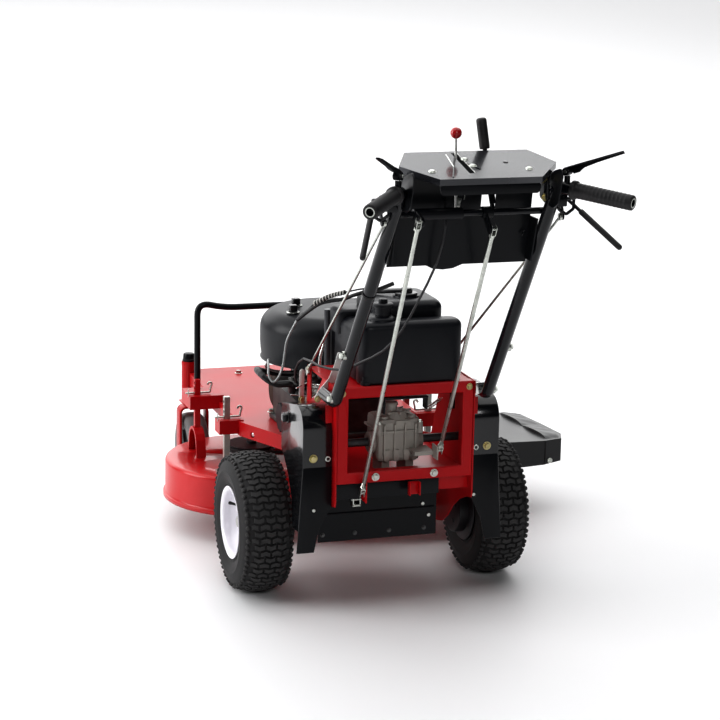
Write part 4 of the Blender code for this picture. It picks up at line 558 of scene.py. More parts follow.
def add_tube(bm, route, radius, steps=20, caps=True):
    """A tube along a route. Radius is one value or one for each point of the route."""
    count = len(route)
    radii = radius if isinstance(radius, list) else [radius] * count
    tangents = []
    for index in range(count):
        ahead = route[min(index + 1, count - 1)] - route[max(index - 1, 0)]
        tangents.append(ahead.normalized())
    side = tangents[0].orthogonal().normalized()
    rings = []
    for index in range(count):
        side = (side - tangents[index] * side.dot(tangents[index])).normalized()
        other = tangents[index].cross(side)
        rings.append([bm.verts.new(route[index] + (side * math.cos(a) + other * math.sin(a))
                                   * radii[index])
                      for a in (2 * math.pi * s / steps for s in range(steps))])
    join_rings(bm, rings)
    if caps:
        bm.faces.new(rings[0])
        bm.faces.new(rings[-1])
    return bm


def tube_piece(name, slot, finish, runs, *nodes):
    """Tubes on the chassis, each from its (route, radius)."""
    bm = bmesh.new()
    for route, radius in runs:
        add_tube(bm, route, radius)
    on_chassis(name, bm, finish, 40, slot, *nodes)


def add_box(bm, centre, size, turn=None, round_off=0.0):
    """A box with its edges rounded off."""
    spin = turn.to_4x4() if turn else Matrix.Identity(4)
    grown = bmesh.ops.create_cube(bm, size=1.0, matrix=Matrix.Translation(Vector(centre)) @ spin
                                  @ Matrix.Diagonal((*size, 1.0)))
    if round_off:
        edges = list({edge for vert in grown["verts"] for edge in vert.link_edges})
        bmesh.ops.bevel(bm, geom=edges, offset=round_off, segments=2, profile=0.5, affect='EDGES')
    return bm


def add_boxes(bm, *rows):
    """Square-standing boxes from (centre, size, rounding)."""
    for centre, size, round_off in rows:
        add_box(bm, centre, size, round_off=round_off)


def add_plate(bm, outline, thickness, place=None, round_off=0.0):
    """A flat plate from (u, v) corners, its thickness running up from the plane of place."""
    place = place or Matrix.Identity(4)
    low = [bm.verts.new(place @ Vector((u, v, 0.0))) for u, v in outline]
    high = [bm.verts.new(place @ Vector((u, v, thickness))) for u, v in outline]
    faces = [bm.faces.new(list(reversed(low))), bm.faces.new(high)]
    count = len(outline)
    for at in range(count):
        faces.append(bm.faces.new((low[at], low[(at + 1) % count], high[(at + 1) % count], high[at])))
    if round_off:
        rims = [edge for face in faces[:2] for edge in face.edges]
        bmesh.ops.bevel(bm, geom=rims, offset=round_off, segments=2, profile=0.5, affect='EDGES')
    return bm


def rounded(corners, radius, steps=5):
    """Outline with its corners rounded off."""
    outline = []
    count = len(corners)
    for at in range(count):
        before, corner, after = (Vector(corners[at - 1]), Vector(corners[at]),
                                 Vector(corners[(at + 1) % count]))
        one, two = before - corner, after - corner
        reach = min(radius, one.length * 0.48, two.length * 0.48)
        start, end = corner + one.normalized() * reach, corner + two.normalized() * reach
        for step in range(steps + 1):
            t = step / steps
            spot = start * (1 - t) ** 2 + corner * 2 * t * (1 - t) + end * t ** 2
            outline.append((spot.x, spot.y))
    return outline


def stand_up(origin, across=(1, 0, 0), up=(0, 0, 1)):
    """Placement whose u and v run along two directions from an origin."""
    across, up = Vector(across).normalized(), Vector(up).normalized()
    place = Matrix((across, up, across.cross(up))).transposed().to_4x4()
    return Matrix.Translation(Vector(origin)) @ place


bm = bmesh.new()
add_boxes(bm, ((-0.0330, -0.1918, 0.2830), (0.2420, 0.0020, 0.0400), 0.0006),
          ((-0.0330, -0.1885, 0.2636), (0.2420, 0.0080, 0.0020), 0.0006))
add_tube(bm, [Vector((x, GUARD_REAR - 0.0012, 0.1960)) for x in (-0.1500, 0.1190)], 0.0018, 10)
on_chassis("guard_upper", bm, black_paint, 35, "black_paint")
bm = bmesh.new()
add_boxes(bm, ((-0.0700, -0.0860, 0.2150), (0.020, 0.010, 0.006), 0.0012),
          ((-0.0780, -0.0860, 0.2240), (0.0030, 0.010, 0.022), 0.0008),
          ((-0.0620, -0.0860, 0.2240), (0.0030, 0.010, 0.022), 0.0008))
lathe(bm, both_ways([(0.0, 0.013), (0.0042, 0.0125), (0.0045, 0.011)]), (-0.0700, -0.0860, 0.2290),
      (1, 0, 0), 16)
on_chassis("guard_clevis", bm, plated_steel, 35, "zinc_plate")
bm = bmesh.new()
add_boxes(bm, ((0.0100, -0.2180, 0.2850), (0.0030, 0.016, 0.030), 0.0008),
          ((0.0330, -0.2180, 0.2850), (0.0030, 0.016, 0.030), 0.0008),
          ((0.0215, -0.2120, 0.2850), (0.0260, 0.0030, 0.030), 0.0008))
on_chassis("rail_bracket", bm, red_paint, 35, "red_paint")

# Carrier frame: a pressed red tray that carries the engine and runs forward to a crossmember and
# the two caster sleeves. Plated bolts show on its top, and a turned collar ends each sleeve.
repaint(red_paint, "carrier_frame")
CARRIER_TOP = 0.305
CASTER_X, CASTER_Y = 0.222, 0.900
up_way = (0, 0, 1)
hex_bolts("carrier_bolts", plated_steel, up_way,
          [(x, y, CARRIER_TOP) for x in (-0.142, 0.142) for y in (0.125, 0.178)]
          + [(x, 0.850, CARRIER_TOP) for x in (-0.10, 0.10)], 0.013)
bm = bmesh.new()
for side in (-1, 1):
    centre = (side * CASTER_X, CASTER_Y, 0.0)
    lathe(bm, [(0.0105, 0.3328), (0.0160, 0.3332), (0.0192, 0.3322), (0.0194, 0.3300),
               (0.0194, 0.3220), (0.0188, 0.3205)], centre, up_way, 40)
    lathe(bm, [(0.0188, 0.2300), (0.0194, 0.2285), (0.0194, 0.2262), (0.0110, 0.2255)], centre,
          up_way, 40)
fit(into_piece("sleeve_collars", bm, red_paint, 40), "chassis", "red_paint")

# Guard hoop: one length of round steel tube, bent to a low arch and sprayed black. Its feet stand
# at the sides of the carrier, ahead of the engine.
HOOP_X, HOOP_Y, HOOP_TOP = 0.262, 0.640, 0.544
hoop_foot = 0.3222
hoop_route = route_points([(-HOOP_X, HOOP_Y, hoop_foot), (-HOOP_X, HOOP_Y, HOOP_TOP),
                           (-0.192, HOOP_Y, 0.528), (0.192, HOOP_Y, 0.528), (HOOP_X, HOOP_Y, HOOP_TOP),
                           (HOOP_X, HOOP_Y, hoop_foot)], 0.034, 12)
tube_piece("hoop_tube", "black_paint", black_paint, [(hoop_route, 0.0080)], "guard_hoop")

# Casters: a red strap fork on a stem in each sleeve, with a grease cap on top. A solid grey rubber
# wheel on a plastic hub turns on a pin through the fork.
CASTER_TRAIL = 0.043
CASTER_RADIUS = 0.1015
STRAP_FOOT, STRAP_TOP = 0.0990, 0.2222
STRAP_X, STRAP_HALF = 0.036, 0.020
caster_rubber = make_finish("caster_rubber", (0.16, 0.16, 0.165), 0.55, spread=0.12, patch=18,
                            relief=0.2, grain=500, scuff=(0.22, 0.215, 0.21))
hub_plastic = make_finish("hub_plastic", (0.055, 0.056, 0.060), 0.45, spread=0.1, patch=30,
                          relief=0.1, grain=800)


def make_caster(side, hand):
    body, roller = "caster_" + hand, "caster_roller_" + hand
    pivot = Vector((side * CASTER_X, CASTER_Y, 0))
    foot_y = CASTER_Y - CASTER_TRAIL
    bm = bmesh.new()
    arch = route_points([(-STRAP_X, 0, STRAP_FOOT), (-STRAP_X, 0, STRAP_TOP), (STRAP_X, 0, STRAP_TOP),
                         (STRAP_X, 0, STRAP_FOOT)], 0.018, 8)
    lefts = [bm.verts.new((pivot.x + spot.x, foot_y - STRAP_HALF, spot.z)) for spot in arch]
    rights = [bm.verts.new((pivot.x + spot.x, foot_y + STRAP_HALF, spot.z)) for spot in arch]
    for at in range(len(arch) - 1):
        bm.faces.new((lefts[at], lefts[at + 1], rights[at + 1], rights[at]))
    for ends in (0, -1):
        fan = [lefts[ends], rights[ends]]
        x = pivot.x + arch[ends].x
        for step in range(1, 10):
            angle = math.pi * step / 10
            fan.append(bm.verts.new((x, foot_y + STRAP_HALF * math.cos(angle),
                                     STRAP_FOOT - 0.0180 * math.sin(angle))))
        bm.faces.new(fan)
    strap = into_piece("caster_strap_" + hand, bm, red_paint, 50)
    shell_of(strap, 0.0056, 0.0, 0.0010)
    fit(strap, body, "red_paint", "caster_fork_" + hand)
    bm = bmesh.new()
    add_box(bm, (pivot.x, CASTER_Y - 0.012, 0.2232), (0.044, 0.066, 0.0034), round_off=0.0010)
    lathe(bm, [(0.0150, 0.2250), (0.0125, 0.2252), (0.0095, 0.2262), (0.0095, 0.3335)], pivot,
          up_way, 32)
    hang("caster_stem_" + hand, bm, red_paint, 40, body, "red_paint")
    bm = bmesh.new()
    lathe(bm, [(0.0, 0.3548), (0.0110, 0.3545), (0.0135, 0.3535), (0.0145, 0.3515), (0.0155, 0.3400),
               (0.0170, 0.3385), (0.0170, 0.3340), (0.0096, 0.3335)], pivot, up_way, 40)
    fit(into_piece("caster_cap_" + hand, bm, black_paint, 35), body, "black_paint")
    bm = bmesh.new()
    pin = Vector((pivot.x, foot_y, CASTER_RADIUS))
    lathe(bm, [(0.0, 0.0445), (0.0075, 0.0440), (0.0082, 0.0425), (0.0082, 0.0395), (0.0080, 0.0393),
               (0.0080, -0.0393), (0.0115, -0.0396), (0.0115, -0.0412), (0.0068, -0.0415),
               (0.0068, -0.0455), (0.0, -0.0458)], pin, (side, 0, 0), 24)
    fit(into_piece("caster_pin_" + hand, bm, plated_steel, 35), body, "zinc_plate")
    bm = bmesh.new()
    tread = [(0.0640, 0.0235), (0.0700, 0.0268), (0.0800, 0.0278), (0.0870, 0.0276),
             (0.0930, 0.0258), (0.0968, 0.0225), (0.0990, 0.0170), (0.1003, 0.0090), (0.1008, 0.0)]
    lathe(bm, both_ways(tread), pin, (1, 0, 0), 72)
    fit(into_piece("caster_tread_" + hand, bm, caster_rubber, 45), roller, "rubber",
        "caster_wheel_" + hand)
    bm = bmesh.new()
    web = [(0.0086, 0.0300), (0.0095, 0.0310), (0.0190, 0.0310), (0.0202, 0.0300), (0.0235, 0.0160),
           (0.0560, 0.0155), (0.0600, 0.0175), (0.0640, 0.0240), (0.0655, 0.0248)]
    lathe(bm, web, pin, (1, 0, 0), 72)
    lathe(bm, [(r, -h) for r, h in web], pin, (1, 0, 0), 72)
    for angle in turns(6):
        spoke = Vector((0, math.cos(angle), math.sin(angle)))
        for end in (-1, 1):
            at = pin + spoke * 0.040 + Vector((end * 0.0185, 0, 0))
            add_box(bm, at, (0.0070, 0.034, 0.0040), Matrix.Rotation(angle, 3, 'X'), 0.0010)
    hang("caster_hub_" + hand, bm, hub_plastic, 40, roller, "black_plastic")


make_caster(-1, "left")
make_caster(1, "right")

# Cutting deck: deep welded steel shell, open below, around two blade spindles, painted red. Its
# skirt turns out into a lip at the foot, and its right side opens under the discharge chute.
DECK_TOP = 0.170
EDGE_ROUND = 0.0098
CHAMBER = 0.215
SPINDLE_LEFT, SPINDLE_RIGHT = Vector((-0.150, 0.530)), Vector((0.245, 0.440))
deck_red = make_finish("deck_red", (0.52, 0.0085, 0.012), 0.32, spread=0.08, patch=6, relief=0.05,
                       grain=240, coat=0.35, coat_rough=0.08, scuff=(0.58, 0.012, 0.016), level=0.35)
way = (SPINDLE_RIGHT - SPINDLE_LEFT).normalized()
lean = math.degrees(math.atan2(way.y, way.x))


def swing(centre, radius, start, end, steps):
    return [(centre[0] + radius * math.cos(math.radians(start + (end - start) * s / steps)),
             centre[1] + radius * math.sin(math.radians(start + (end - start) * s / steps)))
            for s in range(steps + 1)]


def deck_line(grow):
    radius = CHAMBER + grow
    line = swing(SPINDLE_LEFT, radius, 90 + lean, 270 + lean, 64)
    line += swing(SPINDLE_RIGHT, radius, 270 + lean, 360, 34)
    line += [(0.460 + grow, 0.510), (0.460 + grow, 0.592)]
    line += swing((0.449, 0.596), 0.011 + grow, 10, 60, 5)
    line += [(0.435 + grow, 0.640 + grow)]
    line += swing(SPINDLE_RIGHT, radius, 90 + lean, 90 + lean, 1)[:1]
    return line


bm = bmesh.new()
rings = [(-0.0125, DECK_TOP), (-0.0100, DECK_TOP - 0.0001)]
for step in range(1, 8):
    angle = math.radians(90 * step / 7)
    rings.append((-0.0100 + EDGE_ROUND * math.sin(angle),
                  DECK_TOP - EDGE_ROUND * (1 - math.cos(angle))))
rings += [(0.0, 0.1300), (0.0, 0.0890), (0.0008, 0.0868), (0.0026, 0.0852), (0.0044, 0.0842),
          (0.0050, 0.0826), (0.0050, 0.0752)]
loops = [[bm.verts.new((x, y, z)) for x, y in deck_line(grow)] for grow, z in rings]
count = len(loops[0])
bm.faces.new(loops[0])
for upper, lower in zip(loops, loops[1:]):
    for at in range(count):
        after = (at + 1) % count
        bm.faces.new((upper[at], lower[at], lower[after], upper[after]))
deck_skin = into_piece("deck_skin", bm, deck_red, 30)
sheet_steel = deck_skin.modifiers.new("thickness", 'SOLIDIFY')
sheet_steel.thickness = 0.0030
sheet_steel.offset = -1.0
bm = bmesh.new()
add_box(bm, (0.465, 0.4875, 0.1105), (0.090, 0.205, 0.091))
for centre in (SPINDLE_LEFT, SPINDLE_RIGHT):
    lathe(bm, both_ways([(0.0, -0.02), (0.0130, -0.02)]), (centre.x, centre.y, DECK_TOP), up_way, 28)
outlet = into_piece("outlet_cutter", bm, deck_red, 30, weld=False)
opening = deck_skin.modifiers.new("outlet", 'BOOLEAN')
opening.operation = 'DIFFERENCE'
opening.solver = 'EXACT'
opening.object = outlet
bpy.context.view_layer.update()
cut_mesh = bpy.data.meshes.new_from_object(
    deck_skin.evaluated_get(bpy.context.evaluated_depsgraph_get()))
deck_skin.modifiers.clear()
deck_skin.data = cut_mesh
bpy.data.objects.remove(outlet)
fit(deck_skin, "deck", "red_paint", "deck_shell")
bm = bmesh.new()
add_box(bm, (0.4463, 0.490, 0.1795), (0.0327, 0.219, 0.0248), round_off=0.0030)
add_box(bm, (0.300, 0.600, DECK_TOP + 0.0010), (0.070, 0.018, 0.0030), Matrix.Rotation(-0.22, 3, 'Z'),
        0.0010)
hang("deck_hinge_bar", bm, deck_red, 35, "deck", "red_paint")

bm = bmesh.new()
for centre in (SPINDLE_LEFT, SPINDLE_RIGHT):
    spot = (centre.x, centre.y, 0)
    lathe(bm, [(0.0600, DECK_TOP - 0.0004), (0.0600, DECK_TOP + 0.0030), (0.0585, DECK_TOP + 0.0040),
               (0.0340, DECK_TOP + 0.0040), (0.0330, DECK_TOP + 0.0100), (0.0300, DECK_TOP + 0.0110),
               (0.0165, DECK_TOP + 0.0110)], spot, up_way, 40)
fit(into_piece("spindle_housings", bm, black_paint, 35), "deck", "black_paint")
spots = []
for centre in (SPINDLE_LEFT, SPINDLE_RIGHT):
    for angle in turns(6, 15):
        spots.append((centre.x + 0.047 * math.cos(angle), centre.y + 0.047 * math.sin(angle),
                      DECK_TOP + 0.0040))
hex_bolts("housing_bolts", plated_steel, up_way, spots, 0.011, body="deck")

# Belt drive and blades: turned pulleys and pressed blades of bare steel, with a black rubber belt
# round the spindles' pulleys. Each blade is bolted up to the foot of its spindle.
belt_rubber = make_finish("belt_rubber", (0.015, 0.015, 0.016), 0.7, spread=0.2, patch=40,
                          relief=0.25, grain=900)
dark_steel = make_finish("dark_steel", (0.060, 0.060, 0.064), 0.38, metallic=0.8, spread=0.2,
                         patch=40, relief=0.1, grain=900, scuff=(0.11, 0.11, 0.115))
blade_steel = make_finish("blade_steel", (0.26, 0.26, 0.265), 0.40, metallic=1.0, spread=0.25,
                          patch=30, relief=0.2, grain=500, scuff=(0.36, 0.33, 0.30))
repaint(belt_rubber, "spindle_belt")
repaint(dark_steel, "spindle_left", "spindle_right", "engine_pulley", "gearbox_output_shaft")
repaint(blade_steel, "blade_left", "blade_right")

# Deck hangers: square plated posts at the rear and red strapped arches at the front, each with a
# run of height holes. They rise through brackets on the carrier, and a bent steel pin with a
# hairpin clip through one hole of each holds the cutting height.
HANGER_X = {"rear": 0.250, "front": 0.276}
HANGER_Y = {"rear_left": 0.390, "rear_right": 0.345, "front_left": 0.585, "front_right": 0.585}
BRACKET_TOP = {"rear": 0.3075, "front": 0.322}
PIN_WIRE = 0.0040
post_zinc = make_finish("post_zinc", (0.50, 0.51, 0.49), 0.36, metallic=0.9, spread=0.15, patch=45,
                        relief=0.12, grain=900, scuff=(0.58, 0.57, 0.52))
repaint(post_zinc, "deck_hanger_rear_left", "deck_hanger_rear_right")
repaint(red_paint, "deck_hanger_front_left", "deck_hanger_front_right")


def make_pin(label, side, x, y, level):
    z = level + PIN_WIRE + 0.0003
    tip, tail = side * (x + 0.030), side * (x - 0.034)
    bm = bmesh.new()
    curl = [(tail - side * 0.0012, y - 0.0004, z + 0.0120),
            (tail - side * 0.0030, y - 0.0006, z + 0.0215),
            (tail + side * 0.0030, y - 0.0004, z + 0.0250), (tail + side * 0.0075, y, z + 0.0190)]
    route = route_points([(tip, y, z), (tail, y, z), (tail, y, z + 0.0080)], 0.0060, 8)
    route += smooth_route([route[-1]] + curl)[1:]
    radii = [PIN_WIRE * 0.62] * len(route)
    first = route[0].lerp(route[1], 0.05)
    route.insert(1, first)
    radii = [PIN_WIRE * 0.5] + radii
    add_tube(bm, route, radii, 14)
    hair_x = side * (x + 0.0235)
    loop = [(hair_x, y - 0.0052, z + 0.0115), (hair_x, y - 0.0048, z + 0.0020),
            (hair_x, y - 0.0052, z - 0.0060), (hair_x, y - 0.0020, z - 0.0095)]
    add_tube(bm, smooth_route(loop), 0.0011, 8)
    solid = "hitch_pin_" + label
    hang("pin_" + label, bm, plated_steel, 50, solid + "_body", "zinc_plate", solid)


for label, y in HANGER_Y.items():
    end, hand = label.split("_")
    make_pin(label, -1 if hand == "left" else 1, HANGER_X[end], y, BRACKET_TOP[end])

# Discharge chute: a moulded black hood hinged along the deck's right side. Its top is crowned and
# ribbed, and its skirt hangs down all round to turn the clippings into the ground.
chute_plastic = make_finish("chute_plastic", (0.008, 0.0085, 0.0105), 0.30, spread=0.25, patch=12,
                            relief=0.12, grain=520, scuff=(0.013, 0.013, 0.014))
repaint(chute_plastic, "chute_deflector")
CHUTE_TOP = 0.196
bm = bmesh.new()
rows, across = 48, 10
outer_line = [(0.400, 0.630), (0.408, 0.6345), (0.448, 0.6500), (0.560, 0.6380), (0.664, 0.6220),
              (0.690, 0.5860)]


def outer_x(y):
    for (y0, x0), (y1, x1) in zip(outer_line, outer_line[1:]):
        if y <= y1:
            return x0 + (x1 - x0) * max(0.0, y - y0) / (y1 - y0)
    return outer_line[-1][1]


grid = []
for row in range(rows + 1):
    share = row / rows
    y = 0.402 + 0.284 * share
    inner = 0.594 - 0.0210 * share + 0.0018 * math.sin(share * 12.5)
    lobe = 0.0016 + 0.0066 * abs(math.sin(2 * math.pi * share)) ** 0.7
    line = [bm.verts.new((inner - 0.0010, y, CHUTE_TOP - 0.0006))]
    for step in range(across + 1):
        blend = step / across
        x = inner + (outer_x(y) - 0.0012 - inner) * blend
        bumps = 0.0007 * math.sin(38 * share + 5 * blend) * math.sin(math.pi * blend)
        edge = min(1.0, (1 - blend) * 6) * min(1.0, share * 14, (1 - share) * 14)
        line.append(bm.verts.new((x, y, CHUTE_TOP - 0.0004
                                  + (lobe * (1 - 0.55 * blend) + bumps) * max(edge, 0.0))))
    grid.append(line)
for one, two in zip(grid, grid[1:]):
    for at in range(across + 1):
        bm.faces.new((one[at], one[at + 1], two[at + 1], two[at]))
fit(into_piece("chute_moulding", bm, chute_plastic, 60), "chute", "black_plastic")
bm = bmesh.new()
add_tube(bm, route_points([(0.5878, 0.3900, CHUTE_TOP - 0.002), (0.5878, 0.3905, 0.1345)], 0.002, 2),
         0.0012, 8)
hang("chute_fold", bm, chute_plastic, 60, "chute", "black_plastic")
hex_bolts("chute_bolts", plated_steel, back, [(0.602, 0.3950, 0.1420)], 0.009, body="chute")
hex_bolts("chute_hinge_bolts", plated_steel, up_way,
          [(0.450, y, 0.1920) for y in (0.425, 0.500, 0.580)], 0.0095, body="deck")

# Engine: an air-cooled single with its crankshaft upright. A deep rounded steel drum covers the
# flywheel and the air cleaner, over cast cooling fins, the crankcase and a rolled muffler.
ENGINE_X, ENGINE_Y = -0.030, 0.270
DRUM_TOP = 0.598
satin_black = make_finish("satin_black", (0.0080, 0.0090, 0.0125), 0.44, spread=0.22, patch=5,
                          relief=0.10, grain=380, coat=0.10, coat_rough=0.22, level=0.30)
bm = bmesh.new()
drum = [(0.0, DRUM_TOP), (0.030, DRUM_TOP), (0.090, DRUM_TOP - 0.0012), (0.112, DRUM_TOP - 0.0030)]
for step in range(1, 11):
    angle = math.radians(90 - 90 * step / 10)
    drum.append((0.1185 + 0.0460 * math.cos(angle), DRUM_TOP - 0.0480 + 0.0450 * math.sin(angle)))
drum += [(0.1648, 0.538), (0.1646, 0.518), (0.1632, 0.500), (0.1610, 0.4850), (0.1615, 0.4810),
         (0.1640, 0.4795), (0.1640, 0.4783), (0.1585, 0.4783)]
lathe(bm, drum, (ENGINE_X, ENGINE_Y, 0), up_way, 128)
fit(into_piece("engine_drum", bm, satin_black, 35), "chassis", "black_paint", "engine_shroud")
dark_alloy = make_finish("dark_alloy", (0.050, 0.052, 0.055), 0.50, metallic=0.5, spread=0.25,
                         patch=26, relief=0.4, grain=620, scuff=(0.12, 0.118, 0.112))
repaint(dark_alloy, "engine_block")

bm = bmesh.new()
MUFFLER = Vector((ENGINE_X, 0.4273, 0.362))
lathe(bm, both_ways([(0.0, 0.0945), (0.0330, 0.0945), (0.0385, 0.0935), (0.0412, 0.0925),
                     (0.0420, 0.0905), (0.0420, 0.0870), (0.0405, 0.0855)]), MUFFLER, (1, 0, 0), 56)
heat_black = make_finish("heat_black", (0.020, 0.018, 0.017), 0.62, metallic=0.3, spread=0.3,
                         patch=18, relief=0.3, grain=700, scuff=(0.055, 0.036, 0.026))
fit(into_piece("muffler_can", bm, heat_black, 35), "chassis", "dark_steel")
repaint(heat_black, "muffler")

# Engine fittings: square-headed filter knobs on plated washers, fin edges, a grey breather pipe,
# control bars and small plated brackets with springs beside the governor.
def square_knob(bm, at, up, size=0.018, tall=0.015, washer=0.013):
    place = Matrix.Translation(Vector(at)) @ Vector(up).to_track_quat('Z', 'Y').to_matrix().to_4x4()
    grown = bmesh.ops.create_cube(bm, size=1.0, matrix=place @ Matrix.Translation(
        (0, 0, 0.003 + tall / 2)) @ Matrix.Diagonal((size, size, tall, 1.0)))
    edges = list({edge for vert in grown["verts"] for edge in vert.link_edges})
    bmesh.ops.bevel(bm, geom=edges, offset=0.0022, segments=3, profile=0.5, affect='EDGES')
    lathe(bm, [(0.0, 0.0030), (washer * 0.95, 0.0030), (washer, 0.0022), (washer, 0.0003)], at, up, 24)


knob_plastic = make_finish("knob_plastic", (0.012, 0.012, 0.014), 0.30, spread=0.2, patch=60,
                           relief=0.1, grain=900, coat=0.4)
for end, dx, dy in (("front", -0.075, 0.030), ("rear", -0.103, -0.044)):
    at = (ENGINE_X + dx, ENGINE_Y + dy, DRUM_TOP)
    bm = bmesh.new()
    square_knob(bm, at, up_way)
    hang("drum_knob_" + end, bm, knob_plastic, 35, "knob_" + end,
        "black_plastic", "air_cleaner_knob_" + end)
    bm = bmesh.new()
    lathe(bm, [(0.0138, 0.0020), (0.0152, 0.0017), (0.0156, 0.0010), (0.0156, 0.0003),
               (0.0138, 0.0003)], at, up_way, 28)
    fit(into_piece("drum_washer_" + end, bm, plated_steel, 35), "knob_" + end, "zinc_plate")
bm = bmesh.new()
square_knob(bm, (-0.2280, -0.0750, 0.4260), (-1, 0, 0), 0.0165, 0.012, 0.012)
on_chassis("shield_knob", bm, knob_plastic, 35, "black_plastic")

bm = bmesh.new()
for index in range(5):
    z = 0.4030 + index * 0.015
    add_box(bm, (ENGINE_X + 0.030, ENGINE_Y, z), (0.2040, 0.2040, 0.0044), round_off=0.0012)
for x in (ENGINE_X - 0.060, ENGINE_X + 0.120):
    for y in (ENGINE_Y - 0.090, ENGINE_Y + 0.090):
        lathe(bm, [(0.0, 0.478), (0.0075, 0.478), (0.0075, 0.396), (0.0, 0.396)], (x, y, 0), up_way,
              20)
add_box(bm, (ENGINE_X, ENGINE_Y, 0.3115), (0.226, 0.246, 0.012), round_off=0.003)
on_chassis("block_fins", bm, dark_alloy, 35, "cast_aluminium")
hex_bolts("block_bolts", plated_steel, up_way,
          [(x, y, 0.3175) for x in (ENGINE_X - 0.108, ENGINE_X + 0.108)
           for y in (ENGINE_Y - 0.118, ENGINE_Y + 0.118)], 0.013)
bm = bmesh.new()
FILTER_Y, FILTER_Z = ENGINE_Y - 0.060, 0.350
FILTER_RIM = 0.0325
lathe(bm, [(0.0, 0.0), (0.0318, 0.0), (0.0330, -0.0020), (0.0330, -0.0680), (0.0300, -0.0700)],
      (ENGINE_X - 0.1375, FILTER_Y, FILTER_Z), (-1, 0, 0), 40)
for angle in turns(12):
    lathe(bm, [(0.0, 0.0), (0.0030, 0.0), (0.0030, 0.030), (0.0, 0.030)],
          (ENGINE_X - 0.137, FILTER_Y + FILTER_RIM * math.cos(angle),
           FILTER_Z + FILTER_RIM * math.sin(angle)), (1, 0, 0), 8)
on_chassis("oil_filter", bm, satin_black, 35, "black_paint")


def add_spring(bm, start, end, radius=0.0042, wire=0.0008, turns=12):
    start, end = Vector(start), Vector(end)
    ahead = (end - start).normalized()
    side = ahead.orthogonal().normalized()
    other = ahead.cross(side)
    length = (end - start).length
    route = [start, start + ahead * length * 0.12]
    for step in range(turns * 10 + 1):
        angle = 2 * math.pi * step / 10
        spot = start + ahead * length * (0.15 + 0.70 * step / (turns * 10))
        route.append(spot + (side * math.cos(angle) + other * math.sin(angle)) * radius)
    route += [end - ahead * length * 0.12, end]
    add_tube(bm, route, wire, 6)


bright = make_finish("bright_plate", (0.70, 0.71, 0.69), 0.24, metallic=1.0, spread=0.08, patch=80,
                     relief=0.06, grain=1500)
bm = bmesh.new()
add_spring(bm, (-0.150, 0.030, 0.470), (-0.085, 0.050, 0.455))
add_spring(bm, (-0.168, 0.005, 0.440), (-0.112, 0.035, 0.428))
add_spring(bm, (-0.150, 0.060, 0.420), (-0.090, 0.080, 0.442))
add_spring(bm, (0.085, -0.100, 0.430), (0.118, -0.120, 0.462))
add_spring(bm, (0.060, -0.090, 0.470), (0.128, -0.110, 0.488))
for points in (((-0.186, 0.010, 0.470), (-0.150, 0.030, 0.476), (-0.120, 0.040, 0.462)),
               ((-0.190, 0.040, 0.448), (-0.140, 0.050, 0.440), (-0.100, 0.065, 0.446)),
               ((-0.160, 0.020, 0.410), (-0.120, 0.045, 0.418), (-0.095, 0.090, 0.400))):
    add_tube(bm, smooth_route(points), 0.0016, 8)
on_chassis("governor_springs", bm, bright, 50, "zinc_plate")
bm = bmesh.new()
for centre, size, turn in (((-0.120, 0.042, 0.450), (0.045, 0.003, 0.020), 12),
                           ((-0.150, 0.052, 0.432), (0.030, 0.003, 0.016), -18),
                           ((-0.095, 0.070, 0.412), (0.040, 0.003, 0.024), 8),
                           ((-0.168, 0.030, 0.418), (0.022, 0.003, 0.030), 30)):
    add_box(bm, centre, size, Matrix.Rotation(math.radians(turn), 3, 'Y'), 0.0008)
on_chassis("governor_brackets", bm, plated_steel, 35, "zinc_plate")

tube_piece("breather_pipe", "black_paint",
           make_finish("pipe_grey", (0.060, 0.062, 0.070), 0.34, metallic=0.2, spread=0.15,
                       patch=30, relief=0.1, grain=900),
           [(route_points([(-0.1015, 0.050, 0.640), (-0.0995, 0.052, 0.490), (-0.098, 0.110, 0.470)],
                          0.02, 8), 0.0085)])
tube_piece("choke_bar", "zinc_plate", bright,
           [(smooth_route([(-0.118, 0.020, 0.570), (-0.128, 0.020, 0.532), (-0.126, 0.020, 0.494)]),
             0.0036),
            ([Vector((-0.128, -0.060, 0.500)), Vector((-0.178, -0.050, 0.405))], 0.0042)])

# Transmission: a ribbed cast case hung in the frame's window, with a domed lid and filler neck,
# mounting feet and bearing bosses. It hangs from folded brackets of black-painted strip.
gear_alloy = make_finish("gear_alloy", (0.37, 0.345, 0.315), 0.55, metallic=0.12, spread=0.12,
                         patch=26, relief=0.5, grain=560, scuff=(0.38, 0.355, 0.32))
repaint(gear_alloy, "gearbox")
GEAR_Y, GEAR_TOP = -0.135, 0.434
LID_Y = GEAR_Y - 0.006
bm = bmesh.new()
add_box(bm, (0, GEAR_Y + 0.006, 0.4050), (0.108, 0.096, 0.0060), round_off=0.0020)
for x in (-0.047, 0.047):
    lathe(bm, [(0.0, 0.0240), (0.0060, 0.0235), (0.0070, 0.0200), (0.0074, 0.0)],
          (x, GEAR_Y - 0.038, 0.400), up_way, 20)
for x in (-0.032, 0.032):
    lathe(bm, [(0.0, 0.0100), (0.0090, 0.0095), (0.0100, 0.0080), (0.0104, 0.0)],
          (x, GEAR_Y - 0.022, GEAR_TOP - 0.006), up_way, 22)
lathe(bm, [(0.0, 0.4665), (0.0105, 0.4665), (0.0140, 0.4650), (0.0148, 0.4630), (0.0148, 0.4590),
           (0.0138, 0.4580)], (-0.010, LID_Y, 0), up_way, 28)
for angle in turns(8):
    foot = Vector((math.cos(angle) * 0.026, LID_Y + math.sin(angle) * 0.026, 0.4450))
    add_box(bm, foot, (0.020, 0.0030, 0.0050), Matrix.Rotation(angle, 3, 'Z'), 0.0010)
